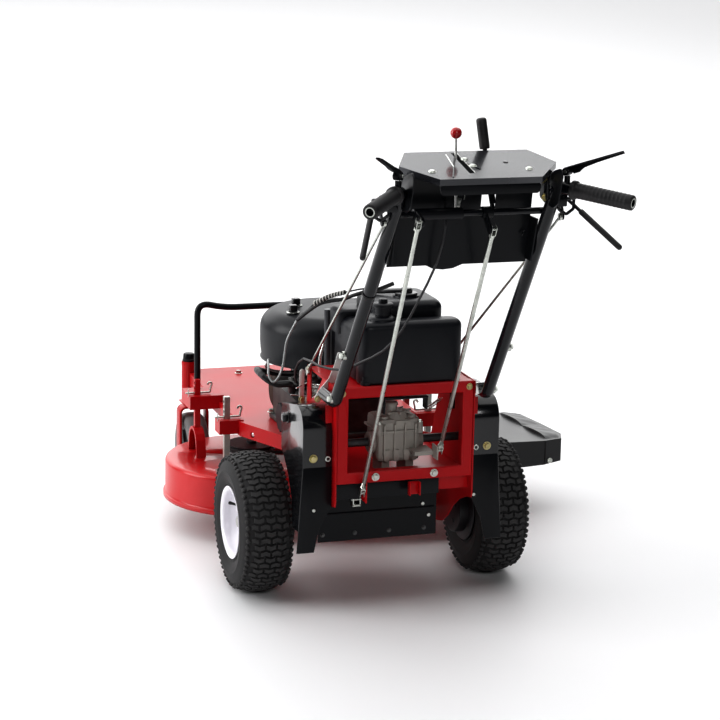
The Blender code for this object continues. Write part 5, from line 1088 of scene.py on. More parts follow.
rib = rounded([(-0.008, 0.0), (0.008, 0.0), (0.0055, -0.026), (-0.0055, -0.026)], 0.003, 4)
for x in (-0.030, -0.008, 0.016, 0.034):
    add_plate(bm, rib, 0.006, stand_up((x, GEAR_Y - 0.0360, 0.3640)), 0.0012)
add_box(bm, (0.008, GEAR_Y - 0.0390, 0.4230), (0.036, 0.0030, 0.013), round_off=0.0010)
on_chassis("gear_case_details", bm, gear_alloy, 35, "cast_aluminium")
hex_bolts("gear_case_bolts", plated_steel, up_way,
          [(x, GEAR_Y - 0.038, 0.4238) for x in (-0.047, 0.047)], 0.0075)
bm = bmesh.new()
add_boxes(bm, ((0.006, -0.185, 0.4860), (0.102, 0.026, 0.0050), 0.0015),
          ((-0.044, -0.185, 0.4690), (0.0045, 0.024, 0.034), 0.0012),
          ((0.054, -0.185, 0.4720), (0.0045, 0.024, 0.028), 0.0012),
          ((0.098, -0.176, 0.4930), (0.040, 0.0040, 0.014), 0.0012),
          ((0.121, -0.176, 0.4700), (0.012, 0.0040, 0.040), 0.0012))
on_chassis("window_brackets", bm, black_paint, 35, "black_paint")

# Fuel tank: blow-moulded black plastic with soft shoulders, a raised filler and a round breather
# canister beside it, each under its own stepped cap. Bent plated stays stand at its left foot.
stay_zinc = make_finish("stay_zinc", (0.74, 0.75, 0.73), 0.40, metallic=0.25, spread=0.08, patch=50,
                        relief=0.08, grain=900)
bm = bmesh.new()
stay = [(-0.1390, 0.5880), (-0.1270, 0.5840), (-0.1340, 0.5520), (-0.1460, 0.5180), (-0.1680, 0.4920),
        (-0.1810, 0.4760), (-0.1930, 0.4860), (-0.1810, 0.5040), (-0.1590, 0.5290), (-0.1470, 0.5580)]
add_plate(bm, rounded(stay, 0.004, 3), 0.0024, stand_up((0, -0.150, 0)), 0.0006)
add_plate(bm, rounded([(-0.1768, 0.4340), (-0.1650, 0.4330), (-0.1640, 0.5080), (-0.1700, 0.5130),
                       (-0.1760, 0.5080)], 0.003, 3), 0.0024,
          stand_up((0, 0.020, 0)), 0.0006)
on_chassis("foot_stays", bm, stay_zinc, 35, "zinc_plate")
hex_bolts("foot_stay_bolts", brassy_plate, back,
          [(-0.1840, -0.1520, 0.4840), (-0.1705, 0.0180, 0.4420)], 0.0095)

tank_plastic = make_finish("tank_plastic", (0.0040, 0.0050, 0.0085), 0.38, spread=0.2, patch=7,
                           relief=0.12, grain=420, coat=0.05, coat_rough=0.25, level=0.30)
TANK_FOOT = 0.5213
FILLER_X, FILLER_Y = 0.040, -0.080


def soft_block(bm, low, high, corner, top_round, foot_round=0.006):
    """A moulded block with rounded upright corners and softly rounded shoulders."""
    (x0, y0, z0), (x1, y1, z1) = low, high
    rings = [(foot_round, z0), (foot_round * 0.3, z0 + foot_round * 0.3), (0.0, z0 + foot_round)]
    for step in range(0, 9):
        angle = math.radians(90 * step / 8)
        rings.append((top_round * (1 - math.cos(angle)), z1 - top_round + top_round * math.sin(angle)))
    made = []
    for inset, z in rings:
        outline = rounded([(x0 + inset, y0 + inset), (x1 - inset, y0 + inset),
                           (x1 - inset, y1 - inset), (x0 + inset, y1 - inset)],
                          max(corner * 1.7 - inset * 0.6, 0.004), 6)
        made.append([bm.verts.new((u, v, z)) for u, v in outline])
    join_rings(bm, made)
    bm.faces.new(made[-1])
    bm.faces.new(list(reversed(made[0])))


bm = bmesh.new()
soft_block(bm, (-0.103, -0.208, TANK_FOOT), (0.133, -0.150, 0.6585), 0.016, 0.016)
soft_block(bm, (-0.101, -0.180, TANK_FOOT), (0.131, 0.030, 0.6430), 0.026, 0.022)
soft_block(bm, (-0.108, -0.050, 0.600), (-0.030, 0.028, 0.6570), 0.012, 0.010)
soft_block(bm, (-0.050, -0.148, 0.600), (0.110, 0.028, 0.6900), 0.022, 0.020)
soft_block(bm, (-0.076, -0.196, 0.600), (-0.012, -0.120, 0.6670), 0.022, 0.012)
lathe(bm, [(0.0315, 0.6860), (0.0305, 0.6890), (0.0290, 0.6925), (0.0, 0.6925)],
      (FILLER_X, FILLER_Y, 0), up_way, 36)
for x in (-0.088, 0.112):
    lathe(bm, [(0.0105, 0.5400), (0.0105, 0.5300), (0.0125, 0.5290), (0.0125, TANK_FOOT)],
          (x, -0.196, 0), up_way, 20)
on_chassis("tank_shell", bm, tank_plastic, 40, "black_plastic",
    "fuel_tank")
bm = bmesh.new()
lathe(bm, [(0.0, 0.7055), (0.0060, 0.7050), (0.0092, 0.7040), (0.0100, 0.7020), (0.0100, 0.6960),
           (0.0205, 0.6952), (0.0225, 0.6936), (0.0225, 0.6872), (0.0172, 0.6860), (0.0168, 0.6600),
           (0.0185, 0.6400)], (-0.0420, -0.165, 0), up_way, 40)
fit(into_piece("breather_canister", bm, tank_plastic, 35), "chassis", "black_plastic")
bm = bmesh.new()
cap_foot = 0.6928
CAP_NECK = 0.0129
lathe(bm, [(0.0, 0.0160), (0.0086, 0.0160), (0.0112, 0.0154), (0.0124, 0.0142), (0.0128, 0.0124),
           (0.0132, 0.0070), (0.0228, 0.0062), (0.0246, 0.0056), (0.0254, 0.0046), (0.0252, 0.0008),
           (0.0244, 0.0), (0.0, 0.0)], (FILLER_X, FILLER_Y, cap_foot), up_way, 60)
for angle in turns(30):
    lathe(bm, [(0.0, 0.0128), (0.0010, 0.0126), (0.0012, 0.0120), (0.0012, 0.0064), (0.0, 0.0062)],
          (FILLER_X + CAP_NECK * math.cos(angle), FILLER_Y + CAP_NECK * math.sin(angle), cap_foot),
          up_way, 6)
hang("tank_cap", bm, knob_plastic, 35, "cap", "black_plastic", "fuel_cap")

# Handle: two bent steel tubes bolted up the frame's sides, painted black, with moulded rubber
# grips on their turned-out ends and a cross shaft between them that carries the console levers.
TUBE = 0.0135
HEEL_Y, HEEL_Z, HEAD_Y, HEAD_Z = -0.250, 0.500, -0.628, 1.015
FOOT_X, HEAD_X = 0.1742, 0.163
SHAFT = Vector((0, -0.572, 0.958))
SQUEEZE_X, SQUEEZE_Y, SQUEEZE_Z = 0.2000, -0.575, 0.985
POST_X, POST_Y = 0.1765, -0.6445
grip_rubber = make_finish("grip_rubber", (0.0075, 0.0070, 0.0085), 0.52, spread=0.15, patch=24,
                          relief=0.25, grain=1100, scuff=(0.028, 0.026, 0.028))
tube_black = make_finish("tube_black", (0.0042, 0.0050, 0.0075), 0.20, spread=0.2, patch=9,
                         relief=0.05, grain=420, coat=0.4, coat_rough=0.05, level=0.22)


def handle_corners(side):
    return [Vector((side * FOOT_X, -0.165, HEEL_Z)), Vector((side * FOOT_X, HEEL_Y, HEEL_Z)),
            Vector((side * HEAD_X, HEAD_Y, HEAD_Z)), Vector((side * 0.268, -0.756, 0.998))]


def bent(points, radius, steps=12):
    """Straight runs joined by true arcs."""
    points = [Vector(p) for p in points]
    made = [points[0]]
    for before, corner, after in zip(points, points[1:], points[2:]):
        rear, ahead = (before - corner).normalized(), (after - corner).normalized()
        half = math.acos(max(-1.0, min(1.0, rear.dot(ahead)))) / 2
        reach = min(radius / math.tan(half), (before - corner).length * 0.49,
                    (after - corner).length * 0.49)
        bow = reach * math.tan(half)
        middle = corner + (rear + ahead).normalized() * (bow / math.sin(half))
        first, last = corner + rear * reach - middle, corner + ahead * reach - middle
        for step in range(steps + 1):
            made.append(middle + first.slerp(last, step / steps) * bow)
    made.append(points[-1])
    return made


for hand, side in (("left", -1), ("right", 1)):
    foot, heel, head, end = handle_corners(side)
    ahead = (end - head).normalized()
    bm = bmesh.new()
    route = bent([foot, heel, head, end], 0.030)[:-1] + [head + ahead * 0.034]
    add_tube(bm, route, TUBE, 32)
    lathe(bm, [(0.0, 0.0), (0.0062, 0.0), (0.0070, 0.0120), (0.0092, 0.0122), (0.0094, 0.0002)],
          end + ahead * 0.0018 - ahead * 0.012, ahead, 28)
    add_tube(bm, [head + ahead * 0.030, end + ahead * 0.0012], 0.0094, 24, caps=False)
    dressed = ("handle_frame",) if hand == "left" else ()
    on_chassis("handle_tube_" + hand, bm, tube_black, 40, "black_paint", *dressed)
    start = head + ahead * 0.033
    long = (end - start).length + 0.002
    bm = bmesh.new()
    skin = [(0.0108, 0.0), (0.0168, 0.0), (0.0183, 0.0012), (0.0186, 0.0030), (0.0186, 0.0085),
            (0.0178, 0.0103), (0.0160, 0.0112)]
    ribs = 12
    for index in range(ribs + 1):
        spot = 0.018 + (long - 0.030) * index / ribs
        skin += [(0.0152, spot - 0.0018), (0.0156, spot - 0.0008), (0.0156, spot + 0.0008),
                 (0.0152, spot + 0.0018)]
    skin += [(0.0153, long - 0.004), (0.0148, long - 0.0012), (0.0134, long), (0.0104, long),
             (0.0100, long - 0.002)]
    lathe(bm, skin, start, ahead, 48)
    fit(into_piece("grip_skin_" + hand, bm, grip_rubber, 45), "chassis", "rubber", "grip_" + hand)
    bm = bmesh.new()
    lathe(bm, [(0.0100, long + 0.0004), (0.0078, long + 0.0004), (0.0070, long - 0.003),
               (0.0062, long - 0.014), (0.0, long - 0.015)], start, ahead, 28)
    fit(into_piece("grip_end_" + hand, bm, plated_steel, 35), "chassis", "zinc_plate")

reach = HEAD_X + (FOOT_X - HEAD_X) * 0.15
bm = bmesh.new()
add_tube(bm, [SHAFT - Vector((reach, 0, 0)), SHAFT + Vector((reach, 0, 0))], 0.0069, 28)
for side in (-1, 1):
    mid_x = side * (HEAD_X + 0.004 + 0.1890) / 2
    add_box(bm, (mid_x, (-0.622 + SQUEEZE_Y + 0.012) / 2, SQUEEZE_Z), (0.0218, 0.0586, 0.0256),
            round_off=0.0022)
    for profile in ([(0.0060, 0.0), (0.0060, 0.0285)], [(0.0060, 0.0285), (0.0, 0.0285)]):
        lathe(bm, profile, (side * POST_X, POST_Y, 1.0100), up_way, 24)
    add_box(bm, (side * 0.14885, -0.608, 1.0170), (0.0046, 0.0198, 0.062), round_off=0.0010)
    add_box(bm, (side * 0.1745, -0.300, 0.5685), (0.0048, 0.018, 0.020),
            Matrix.Rotation(math.radians(-53.7), 3, 'X'), 0.0010)
on_chassis("handle_lugs", bm, tube_black, 35, "black_paint")
slope = Vector((0, HEAD_Y - HEEL_Y, HEAD_Z - HEEL_Z)).normalized()
bm = bmesh.new()
for side in (-1, 1):
    for share in (0.02, 0.24):
        spot = Vector((side * 0.1735, HEEL_Y, HEEL_Z)) + slope * share * 0.64
        lathe(bm, [(0.0, 0.0205), (0.0062, 0.0205), (0.0066, 0.0195), (0.0066, 0.0)], spot,
              (side, 0, 0), 6)
        lathe(bm, [(0.0092, 0.0150), (0.0096, 0.0144), (0.0096, 0.0)], spot, (side, 0, 0), 20)
on_chassis("handle_bolts", bm, plated_steel, 30, "zinc_plate")
bm = bmesh.new()
add_box(bm, (0.1640, -0.2335, 0.5085), (0.0205, 0.0030, 0.026), round_off=0.0008)
on_chassis("frame_clip", bm, bright, 30, "zinc_plate")
bm = bmesh.new()
strut_low = Vector((-0.171, -0.448, 0.776))
add_tube(bm, [strut_low, strut_low + Vector((0.046, -0.030, 0.026))], 0.0042, 14)
ring_at = Vector((-0.1687, HEEL_Y, HEEL_Z)) + slope * 0.345
lathe(bm, both_ways([(0.0136, -0.0022), (0.0150, -0.0022)]), ring_at, slope, 28, closed=True)
on_chassis("handle_strut", bm, valve_rubber, 40, "black_plastic")

# Console: a folded steel top plate with clipped corners and slots for the two centre levers, held
# by carriage bolts to an apron that hangs between the handle tubes.
CONSOLE = Vector((0, -0.612, 1.062))
TILT = Matrix.Rotation(math.radians(12.5), 4, 'X')
console_blue = make_finish("console_blue", (0.022, 0.024, 0.031), 0.24, metallic=0.30, spread=0.10,
                           patch=7, relief=0.05, grain=360, coat=0.7, coat_rough=0.08,
                           scuff=(0.058, 0.060, 0.068))
repaint(console_blue, "console_plate")
repaint(black_paint, "console_panel")


def on_console(x, y, z=0.0):
    return CONSOLE + TILT @ Vector((x, y, z))


top_way = (TILT @ Vector((0, 0, 1))).to_tuple()
bm = bmesh.new()
for x, y in ((-0.1076, -0.0355), (-0.0195, 0.0250), (-0.0150, -0.0109), (0.0946, -0.0346)):
    lathe(bm, [(0.0080, 0.0), (0.0078, 0.0006), (0.0066, 0.0009), (0.0064, 0.0014), (0.0054, 0.0026),
               (0.0034, 0.0034), (0.0, 0.0037)], on_console(x, y), top_way, 24)
fit(into_piece("console_rivets", bm, plated_steel, 40), "chassis", "zinc_plate")
bm = bmesh.new()
lathe(bm, [(0.0050, 0.0), (0.0048, 0.0010), (0.0030, 0.0014), (0.0, 0.0014)],
      on_console(0.0593, 0.0049), top_way, 18)
add_tube(bm, [on_console(-0.0559, -0.0142, 0.0), on_console(-0.0762, -0.0700, 0.0)], 0.0016, 8)
on_chassis("console_slot_dark", bm, knob_plastic, 60, "black_plastic")
bm = bmesh.new()
add_tube(bm, [on_console(-0.0490, 0.0525, 0.0002), on_console(-0.0559, -0.0142, 0.0002)], 0.0013, 8)
add_tube(bm, [on_console(-0.0238, -0.049, 0.0002), on_console(-0.0238, 0.061, 0.0002)], 0.0007, 8)
on_chassis("slot_edges", bm, bright, 50, "zinc_plate")
flange_foot = on_console(0, -0.0775, -0.0140)
bm = bmesh.new()
add_plate(bm, rounded([(-0.101, -0.019), (0.101, -0.019), (0.106, 0.0), (-0.106, 0.0)], 0.006, 4),
          0.0022, stand_up(flange_foot, (1, 0, 0), (0, 0.02, 1)), 0.0006)
on_chassis("console_flange", bm, black_paint, 35, "black_paint")
bm = bmesh.new()
for side in (-1, 1):
    add_box(bm, (side * 0.1250, -0.5420, 1.0180), (0.012, 0.0050, 0.060), round_off=0.0012)
add_box(bm, (0.135, -0.5255, 0.905), (0.0030, 0.0030, 0.012), Matrix.Rotation(0.5, 3, 'Y'), 0.0006)
on_chassis("apron_stays", bm, tube_black, 35, "black_paint")
bm = bmesh.new()
cheek = [(-0.560, 0.985), (-0.565, 1.012), (-0.596, 1.028), (-0.632, 1.047), (-0.666, 1.056),
         (-0.678, 1.046), (-0.669, 1.016), (-0.657, 0.984), (-0.634, 0.972), (-0.589, 0.976)]
for side in (-1, 1):
    start_x = 0.1530 if side > 0 else -0.1552
    add_plate(bm, rounded(cheek, 0.006, 4), 0.0022, stand_up((start_x, 0, 0), (0, 1, 0)), 0.0006)
on_chassis("console_cheeks", bm, black_paint, 35, "black_paint")
hex_bolts("cheek_bolts", brassy_plate, back, [(x, -0.6000, 0.9900) for x in (-0.1500, 0.1500)],
          0.0110)
hex_bolts("console_bolts_brassy", brassy_plate, (0.2, -1, 0.05), [(0.1385, -0.6120, 1.0290)], 0.0115)

# Blade lever: a steel stalk with a red ball, on a hub that turns on the cross shaft. The gear
# lever beside it is bent round the plate's far edge and carries a moulded black grip.
ball_red = make_finish("ball_red", (0.45, 0.007, 0.012), 0.22, spread=0.06, patch=40, relief=0.03,
                       grain=900, coat=0.6, coat_rough=0.05)
stalk_bright = make_finish("stalk_bright", (0.72, 0.72, 0.70), 0.35, metallic=0.6, spread=0.06,
                           patch=60, relief=0.05, grain=1200)
BALL = 0.0116
rod_high = {}
low_end = {"left": Vector((-0.1020, -0.225, 0.285)), "right": Vector((0.0740, -0.231, 0.372))}
rod_x = {"left": -0.1225, "right": 0.0390}
lead = {"left": -17, "right": 10}
for hand in ("left", "right"):
    run = Vector((0, low_end[hand].y - SHAFT.y, low_end[hand].z - SHAFT.z)).normalized()
    arm = Matrix.Rotation(math.radians(lead[hand]), 3, 'X') @ Vector((0, run.z, -run.y))
    rod_high[hand] = SHAFT + arm * 0.045
    rod_high[hand].x = rod_x[hand]


def add_arm(bm, start, end, wide, thick, x):
    """A flat lever arm with round ends, standing across the shaft."""
    ahead = Vector((0, end.y - start.y, end.z - start.z))
    long = ahead.length
    ahead.normalize()
    square = Vector((0, -ahead.z, ahead.y))
    outline = []
    for middle, first, grow in ((0.0, 90, 1.15), (long, -90, 1.0)):
        for step in range(9):
            angle = math.radians(first + 180 * step / 8)
            outline.append((middle + math.cos(angle) * wide * grow, math.sin(angle) * wide * grow))
    face_x = x + thick / 2 if ahead.cross(square).x < 0 else x - thick / 2
    place = Matrix.Translation(Vector((face_x, start.y, start.z))) @ Matrix(
        (ahead, square, ahead.cross(square))).transposed().to_4x4()
    add_plate(bm, outline, thick, place, 0.0006)


def lever_root(hand, arm_x, low_x, high_x):
    """A lever's hub on the cross shaft, with the arm that pulls its rod."""
    bm = bmesh.new()
    lathe(bm, [(0.0075, low_x), (0.0112, low_x), (0.0120, low_x + 0.0010),
               (0.0120, high_x - 0.0010), (0.0112, high_x), (0.0075, high_x)],
          Vector((0, SHAFT.y, SHAFT.z)), (1, 0, 0), 40)
    rise = Vector((0, rod_high[hand].y - SHAFT.y, rod_high[hand].z - SHAFT.z))
    add_arm(bm, SHAFT, SHAFT + rise.normalized() * 0.046, 0.0088, 0.0040, arm_x)
    return bm


BLADE_X = -0.030
arm_x = rod_x["left"] + 0.0078
bm = lever_root("left", arm_x, arm_x - 0.004, BLADE_X + 0.010 + 0.004)
hang("blade_lever_hub", bm, black_paint, 35, "blade_engage", "black_paint", "blade_lever")
foot = on_console(BLADE_X, 0.052)
top = foot + Vector((0.002, 0.004, 0.036))
bm = bmesh.new()
add_tube(bm, [Vector((BLADE_X, SHAFT.y, SHAFT.z + 0.011)), top], 0.0026, 16)
lathe(bm, [(0.0056, -0.0035), (0.0060, -0.0030), (0.0060, 0.0005), (0.0040, 0.0012)], top, top - foot,
      20)
hang("blade_lever_stalk", bm, stalk_bright, 40, "blade_engage", "zinc_plate")
bm = bmesh.new()
bmesh.ops.create_uvsphere(bm, u_segments=40, v_segments=24, radius=BALL)
bmesh.ops.translate(bm, vec=top + Vector((0.0004, 0.0003, BALL * 0.6)), verts=bm.verts)
fit(into_piece("blade_lever_ball", bm, ball_red, 60), "blade_engage", "red_paint")

SHIFT_X = 0.050
arm_x = rod_x["right"] - 0.0078
bm = lever_root("right", arm_x, arm_x - 0.004, SHIFT_X - 0.010 + 0.008)
knee, head = Vector((SHIFT_X + 0.002, -0.522, 1.050)), Vector((SHIFT_X - 0.009, -0.514, 1.136))
add_tube(bm, bent([Vector((SHIFT_X, SHAFT.y, SHAFT.z)), knee, head], 0.020, 8), 0.0045, 20)
bar_foot = Vector((SHIFT_X, SHAFT.y, SHAFT.z + 0.012))
reach_up = knee - bar_foot
turn = reach_up.to_track_quat('Z', 'Y').to_matrix()
add_box(bm, (bar_foot + knee) / 2, (0.0125, 0.0050, reach_up.length - 0.012), turn, 0.0010)
hang("gear_lever_bar", bm, black_paint, 35, "gear_shift", "black_paint", "shift_lever")
start = knee.lerp(head, 0.32)
along = (head - knee).normalized()
long = (head - start).length + 0.0038
skin = [(0.0048, 0.0), (0.0092, 0.0004), (0.0102, 0.0020), (0.0106, 0.0060)]
for step in range(7):
    spot = 0.010 + (long - 0.026) * step / 6
    skin += [(0.0106, spot - 0.0012), (0.0104, spot - 0.0004), (0.0104, spot + 0.0004),
             (0.0106, spot + 0.0012)]
skin += [(0.0105, long - 0.0065), (0.0100, long - 0.0035), (0.0082, long - 0.0012),
         (0.0050, long - 0.0002), (0.0, long)]
bm = bmesh.new()
lathe(bm, skin, start, along, 36)
fit(into_piece("gear_lever_grip", bm, grip_rubber, 45), "gear_shift", "rubber")

# Control rods: zinc-plated rods from the lever arms down to the frame's lug and the transmission's
# arm, each threaded into a clevis with a cross pin and split pin at both ends.
for hand in ("left", "right"):
    high, low = rod_high[hand], low_end[hand]
    run = (low - high).normalized()
    square = run.cross(Vector((1, 0, 0))).normalized()
    bm = bmesh.new()
    long = (low - high).length
    lathe(bm, [(0.0046, 0.0140), (0.0046, long - 0.034), (0.0040, long - 0.033)], high, run, 24)
    thread = []
    for index in range(16):
        spot = long - 0.033 + index * 0.00135
        thread += [(0.0040, spot), (0.0046, spot + 0.0006)]
    lathe(bm, thread, high, run, 16)
    for end, way in ((high, run), (low, -run)):
        start = end + way * 0.0135
        lathe(bm, [(0.0, -0.0008), (0.0062, -0.0008), (0.0068, 0.0), (0.0068, 0.0060),
                   (0.0060, 0.0068), (0.0044, 0.0068)], start, way, 6)
        for sign in (-1, 1):
            place = Matrix((way, square, Vector((1, 0, 0)))).transposed().to_4x4()
            centre = end + way * 0.0030 + Vector((sign * 0.0044, 0, 0))
            add_box(bm, centre, (0.0225, 0.0125, 0.0022), place.to_3x3(), 0.0009)
        add_box(bm, end + way * 0.0135, (0.0024, 0.0120, 0.0108), place.to_3x3(), 0.0006)
        lathe(bm, both_ways([(0.0, 0.0054), (0.0026, 0.0054), (0.0030, 0.0050)]), end, (1, 0, 0), 18)
    hang("centre_rod_" + hand, bm, plated_steel, 40, "rod_" + hand,
        "zinc_plate", "control_rod_" + hand)

# Drive levers: flat steel bars below the grips, sleeved in rubber, that squeeze up to let each
# wheel's drive go. A thin plated rod runs down from each one's arm to an ear on the side plate.
EAR_FACE = 0.157 + 0.003
ARM_FACE = 0.1893
EYE_HALF = 0.0032
for hand, side in (("left", -1), ("right", 1)):
    pivot = Vector((side * SQUEEZE_X, SQUEEZE_Y, SQUEEZE_Z))
    tip = Vector((side * 0.268, -0.712, 0.900))
    low = Vector((side * (EAR_FACE + 0.0009 + EYE_HALF), -0.003, 0.512))
    run = Vector((0, low.y - pivot.y, low.z - pivot.z)).normalized()
    arm = Matrix.Rotation(math.radians(12), 3, 'X') @ Vector((0, run.z, -run.y))
    high = pivot + arm * 0.042
    high.x = side * (ARM_FACE - 0.0003 - EYE_HALF)
    root = pivot + Vector((side * 0.002, 0, 0))
    along = (tip - root).normalized()
    bm = bmesh.new()
    add_tube(bm, [root, root.lerp(tip, 0.5)], 0.0035, 16)
    lathe(bm, [(0.0, 0.0052), (0.0075, 0.0052), (0.0085, 0.0042), (0.0085, -0.0098),
               (0.0075, -0.0104), (0.0, -0.0104)], pivot, (side, 0, 0), 32)
    add_arm(bm, Vector((0, pivot.y, pivot.z)), Vector((0, high.y, high.z)), 0.0068, 0.0030,
            side * (ARM_FACE + 0.0016))
    hang("squeeze_bar_" + hand, bm, black_paint, 35, "drive_" + hand, "black_paint",
         "drive_lever_" + hand)
    start, long = root.lerp(tip, 0.285), (tip - root).length * 0.715
    bm = bmesh.new()
    lathe(bm, [(0.0036, 0.0), (0.0050, 0.0003), (0.0057, 0.0014), (0.0059, 0.0040),
               (0.0058, long - 0.0060), (0.0052, long - 0.0026), (0.0036, long - 0.0006),
               (0.0, long)], start, along, 32)
    fit(into_piece("squeeze_sleeve_" + hand, bm, grip_rubber, 50), "drive_" + hand, "rubber")
    bm = bmesh.new()
    lathe(bm, [(0.0, 0.0014), (0.0040, 0.0014), (0.0044, 0.0010), (0.0044, 0.0)],
          pivot + Vector((side * 0.0052, 0, 0)), (side, 0, 0), 6)
    hang("squeeze_nut_" + hand, bm, plated_steel, 30, "drive_" + hand,
        "zinc_plate")
    bm = bmesh.new()
    way = (low - high).normalized()
    span = (low - high).length
    lathe(bm, [(0.0029, 0.004), (0.0029, span - 0.030), (0.0045, span - 0.029),
               (0.0048, span - 0.027), (0.0048, span - 0.012), (0.0040, span - 0.010),
               (0.0029, span - 0.009), (0.0029, span - 0.002)], high, way, 20)
    for end, eye in ((high, 0.0078), (low, 0.0096)):
        lathe(bm, both_ways([(0.0, 0.0031), (eye - 0.0012, 0.0031), (eye, 0.0022)]), end, (1, 0, 0),
              28)
    hang("link_rod_" + hand, bm, plated_steel, 40, "side_link_" + hand,
        "zinc_plate", "side_rod_" + hand)
    bm = bmesh.new()
    lathe(bm, [(0.0, 0.0), (0.0049, 0.0), (0.0052, 0.0010), (0.0052, 0.0130), (0.0049, 0.0140),
               (0.0, 0.0140)], low - way * 0.0265, way, 6)
    hang("link_nut_" + hand, bm, brassy_plate, 30, "side_link_" + hand,
        "zinc_plate")

# Presence levers: thin shaped strips above the grips on pivot posts, with a turned-up tab and a
# return wire. The operator's thumbs hold them down, and letting go stops the engine.
for hand, side in (("left", -1), ("right", 1)):
    at = Vector((side * POST_X, POST_Y, 1.047))
    tip = Vector((side * 0.2525, -0.743, 1.091))
    ahead = tip - at
    flat = Vector((ahead.x, ahead.y, 0)).normalized()
    square = Vector((flat.y, -flat.x, 0))
    rise = ahead.normalized()
    lift = square.cross(rise).normalized()
    lift = -lift if lift.z < 0 else lift
    bm = bmesh.new()
    lathe(bm, both_ways([(0.0, 0.0090), (0.0070, 0.0090), (0.0080, 0.0080)]), at, square, 32)
    outline, mirror = [], []
    for d, w in ((0.0, 0.0088), (0.016, 0.0102), (0.030, 0.0108), (0.042, 0.0098), (0.052, 0.0080),
                 (0.064, 0.0066), (0.090, 0.0060), (ahead.length - 0.006, 0.0054),
                 (ahead.length - 0.002, 0.0042), (ahead.length, 0.0022)):
        outline.append((d, w))
        mirror.append((d, -w))
    place = Matrix.Translation(at + lift * 0.0056) @ Matrix(
        (rise, lift.cross(rise), lift)).transposed().to_4x4()
    add_plate(bm, mirror + list(reversed(outline)), 0.0027, place, 0.0008)
    edge_place = Matrix.Translation(at + lift * 0.0070 - square * 0.0088) @ Matrix(
        (rise, lift, rise.cross(lift))).transposed().to_4x4()
    fold = [(0.004, 0.0), (0.030, 0.0010), (0.064, 0.0008), (ahead.length - 0.004, 0.0004),
            (ahead.length - 0.002, -0.0046), (0.064, -0.0066), (0.034, -0.0085), (0.022, -0.0150),
            (0.008, -0.0150)]
    add_plate(bm, fold, 0.0020, edge_place, 0.0006)
    hang("thumb_strip_" + hand, bm, black_paint, 35, "presence_" + hand,
        "black_paint", "presence_lever_" + hand)
    bm = bmesh.new()
    for way in (square, -square):
        lathe(bm, [(0.0, 0.0106), (0.0034, 0.0106), (0.0038, 0.0100), (0.0038, 0.0090)], at, way, 6)
    hang("thumb_pin_" + hand, bm, plated_steel, 30, "presence_" + hand,
        "zinc_plate")
    bm = bmesh.new()
    add_tube(bm, smooth_route([at + Vector((-side * 0.004, 0.004, -0.0095)),
                               at + Vector((-side * 0.0120, 0.012, 0.0005)),
                               at + Vector((-side * 0.0150, 0.020, -0.0100)),
                               at + Vector((-side * 0.0125, 0.024, -0.0320))]), 0.0011, 8)
    on_chassis("return_wire_" + hand, bm, valve_rubber, 50, "dark_steel")
    bm = bmesh.new()
    ring = [Vector((side * u, -0.6000, w)) for u, w in
            ((0.1790, 0.9850), (0.2115, 0.9850), (0.2115, 0.9640), (0.1960, 0.9530), (0.1790, 0.9640),
             (0.1790, 0.9850))]
    add_tube(bm, route_points(ring, 0.003, 3), 0.0032, 12)
    on_chassis("lever_bracket_" + hand, bm, tube_black, 40, "black_paint")

# Throttle cable, vent hose and drain hose: rubber-sheathed lines that the machine holds along
# their whole length, with a spring-steel clip on the apron and a striped spiral guard on the hose.
sheath_black = make_finish("sheath_black", (0.014, 0.014, 0.016), 0.42, spread=0.15, patch=40,
                           relief=0.15, grain=1200)
repaint(sheath_black, "throttle_cable", "oil_hose")
vent_line = [(-0.166, 0.078, 0.612), (-0.186, 0.085, 0.567), (-0.192, 0.085, 0.535),
             (-0.197, 0.083, 0.505), (-0.208, 0.080, 0.480), (-0.220, 0.080, 0.470),
             (-0.229, 0.085, 0.483), (-0.227, 0.098, 0.500), (-0.220, 0.125, 0.510),
             (-0.208, 0.165, 0.500), (-0.200, 0.215, 0.472), (-0.165, 0.240, 0.454),
             (-0.130, 0.246, 0.448), (-0.101, 0.246, 0.448)]
vent_top = [(0.0285, -0.078, 0.7010), (0.006, -0.066, 0.6990), (-0.013, -0.050, 0.6960),
            (-0.035, -0.036, 0.6950), (-0.060, -0.020, 0.6850), (-0.081, -0.002, 0.6730),
            (-0.103, 0.015, 0.6665), (-0.125, 0.030, 0.6585), (-0.143, 0.047, 0.6420),
            (-0.166, 0.078, 0.6120)]
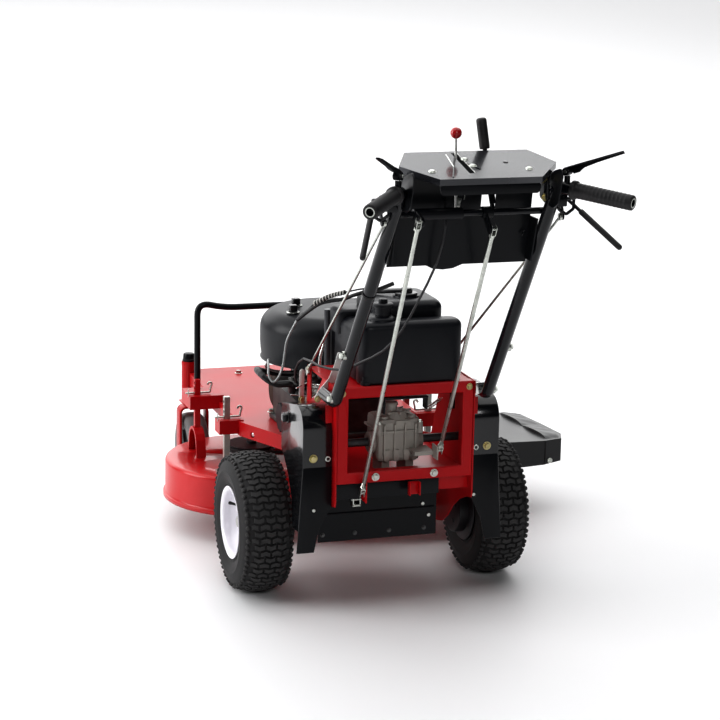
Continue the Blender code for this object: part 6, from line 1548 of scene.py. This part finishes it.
# The lower run of the vent hose is drawn light grey and metallic: a painted highlight along its black
# sheath.
vent_sheath_painted_highlight = make_finish("vent_sheath_painted_highlight", (0.36, 0.37, 0.37), 0.34, metallic=0.5, spread=0.12,
                          patch=60, relief=0.15, grain=1400)
tube_piece("vent_line", "rubber", vent_sheath_painted_highlight, [(smooth_route(vent_line, 10), 0.0028)])
tube_piece("vent_pipe", "rubber", sheath_black, [(smooth_route(vent_top, 10), 0.0042)],
           "vent_hose")
LOOM_START, LOOM_END = (-0.079, -0.006, 0.689), (-0.137, 0.040, 0.656)
loom_route = smooth_route([LOOM_START, (-0.108, 0.016, 0.677), LOOM_END], 14)
loom_lead = smooth_route([(-0.012, -0.048, 0.7025), (-0.045, -0.030, 0.7000), LOOM_START])
loom_tail = smooth_route([LOOM_END, (-0.146, 0.052, 0.6420), (-0.158, 0.068, 0.6270)])
loom_black = make_finish("loom_black", (0.012, 0.012, 0.013), 0.5, spread=0.2, patch=60, relief=0.2,
                         grain=1300)
loom_white = make_finish("loom_white", (0.62, 0.61, 0.58), 0.5, spread=0.06, patch=60, relief=0.1,
                         grain=1300)
tube_piece("loom_sleeve", "black_plastic", loom_black,
           [(loom_route, 0.0048), (loom_lead, 0.0018), (loom_tail, 0.0018)])
bm = bmesh.new()
winding = []
FINE = 8
for index in range((len(loom_route) - 1) * FINE):
    whole, part = divmod(index, FINE)
    spot = loom_route[whole].lerp(loom_route[whole + 1], part / FINE)
    along = (loom_route[whole + 1] - loom_route[whole]).normalized()
    side = along.cross(Vector((0, 0, 1))).normalized()
    other = side.cross(along)
    angle = index * 0.30
    winding.append(spot + (side * math.cos(angle) + other * math.sin(angle)) * 0.0044)
add_tube(bm, winding, 0.0019, 6)
on_chassis("loom_stripe", bm, loom_white, 60, "white_paint")
bm = bmesh.new()
clip_y = -0.5395
add_box(bm, (-0.0125, clip_y, 0.9745), (0.0085, 0.0075, 0.0190), Matrix.Rotation(0.25, 3, 'Y'), 0.0012)
add_tube(bm, smooth_route([(-0.0170, clip_y, 0.9800), (-0.0150, clip_y - 0.001, 0.9905),
                           (-0.0070, clip_y - 0.001, 0.9925), (0.0000, clip_y - 0.001, 0.9890),
                           (-0.0010, clip_y - 0.001, 0.9800)]), 0.0012, 8)
on_chassis("cable_clip", bm, plated_steel, 40, "zinc_plate")
tube_piece("cable_lead", "black_plastic", sheath_black,
           [(smooth_route([(-0.0140, clip_y - 0.0005, 0.9660), (-0.0300, clip_y - 0.001, 0.9500),
                           (-0.0410, -0.5470, 0.9400)]), 0.0020)])
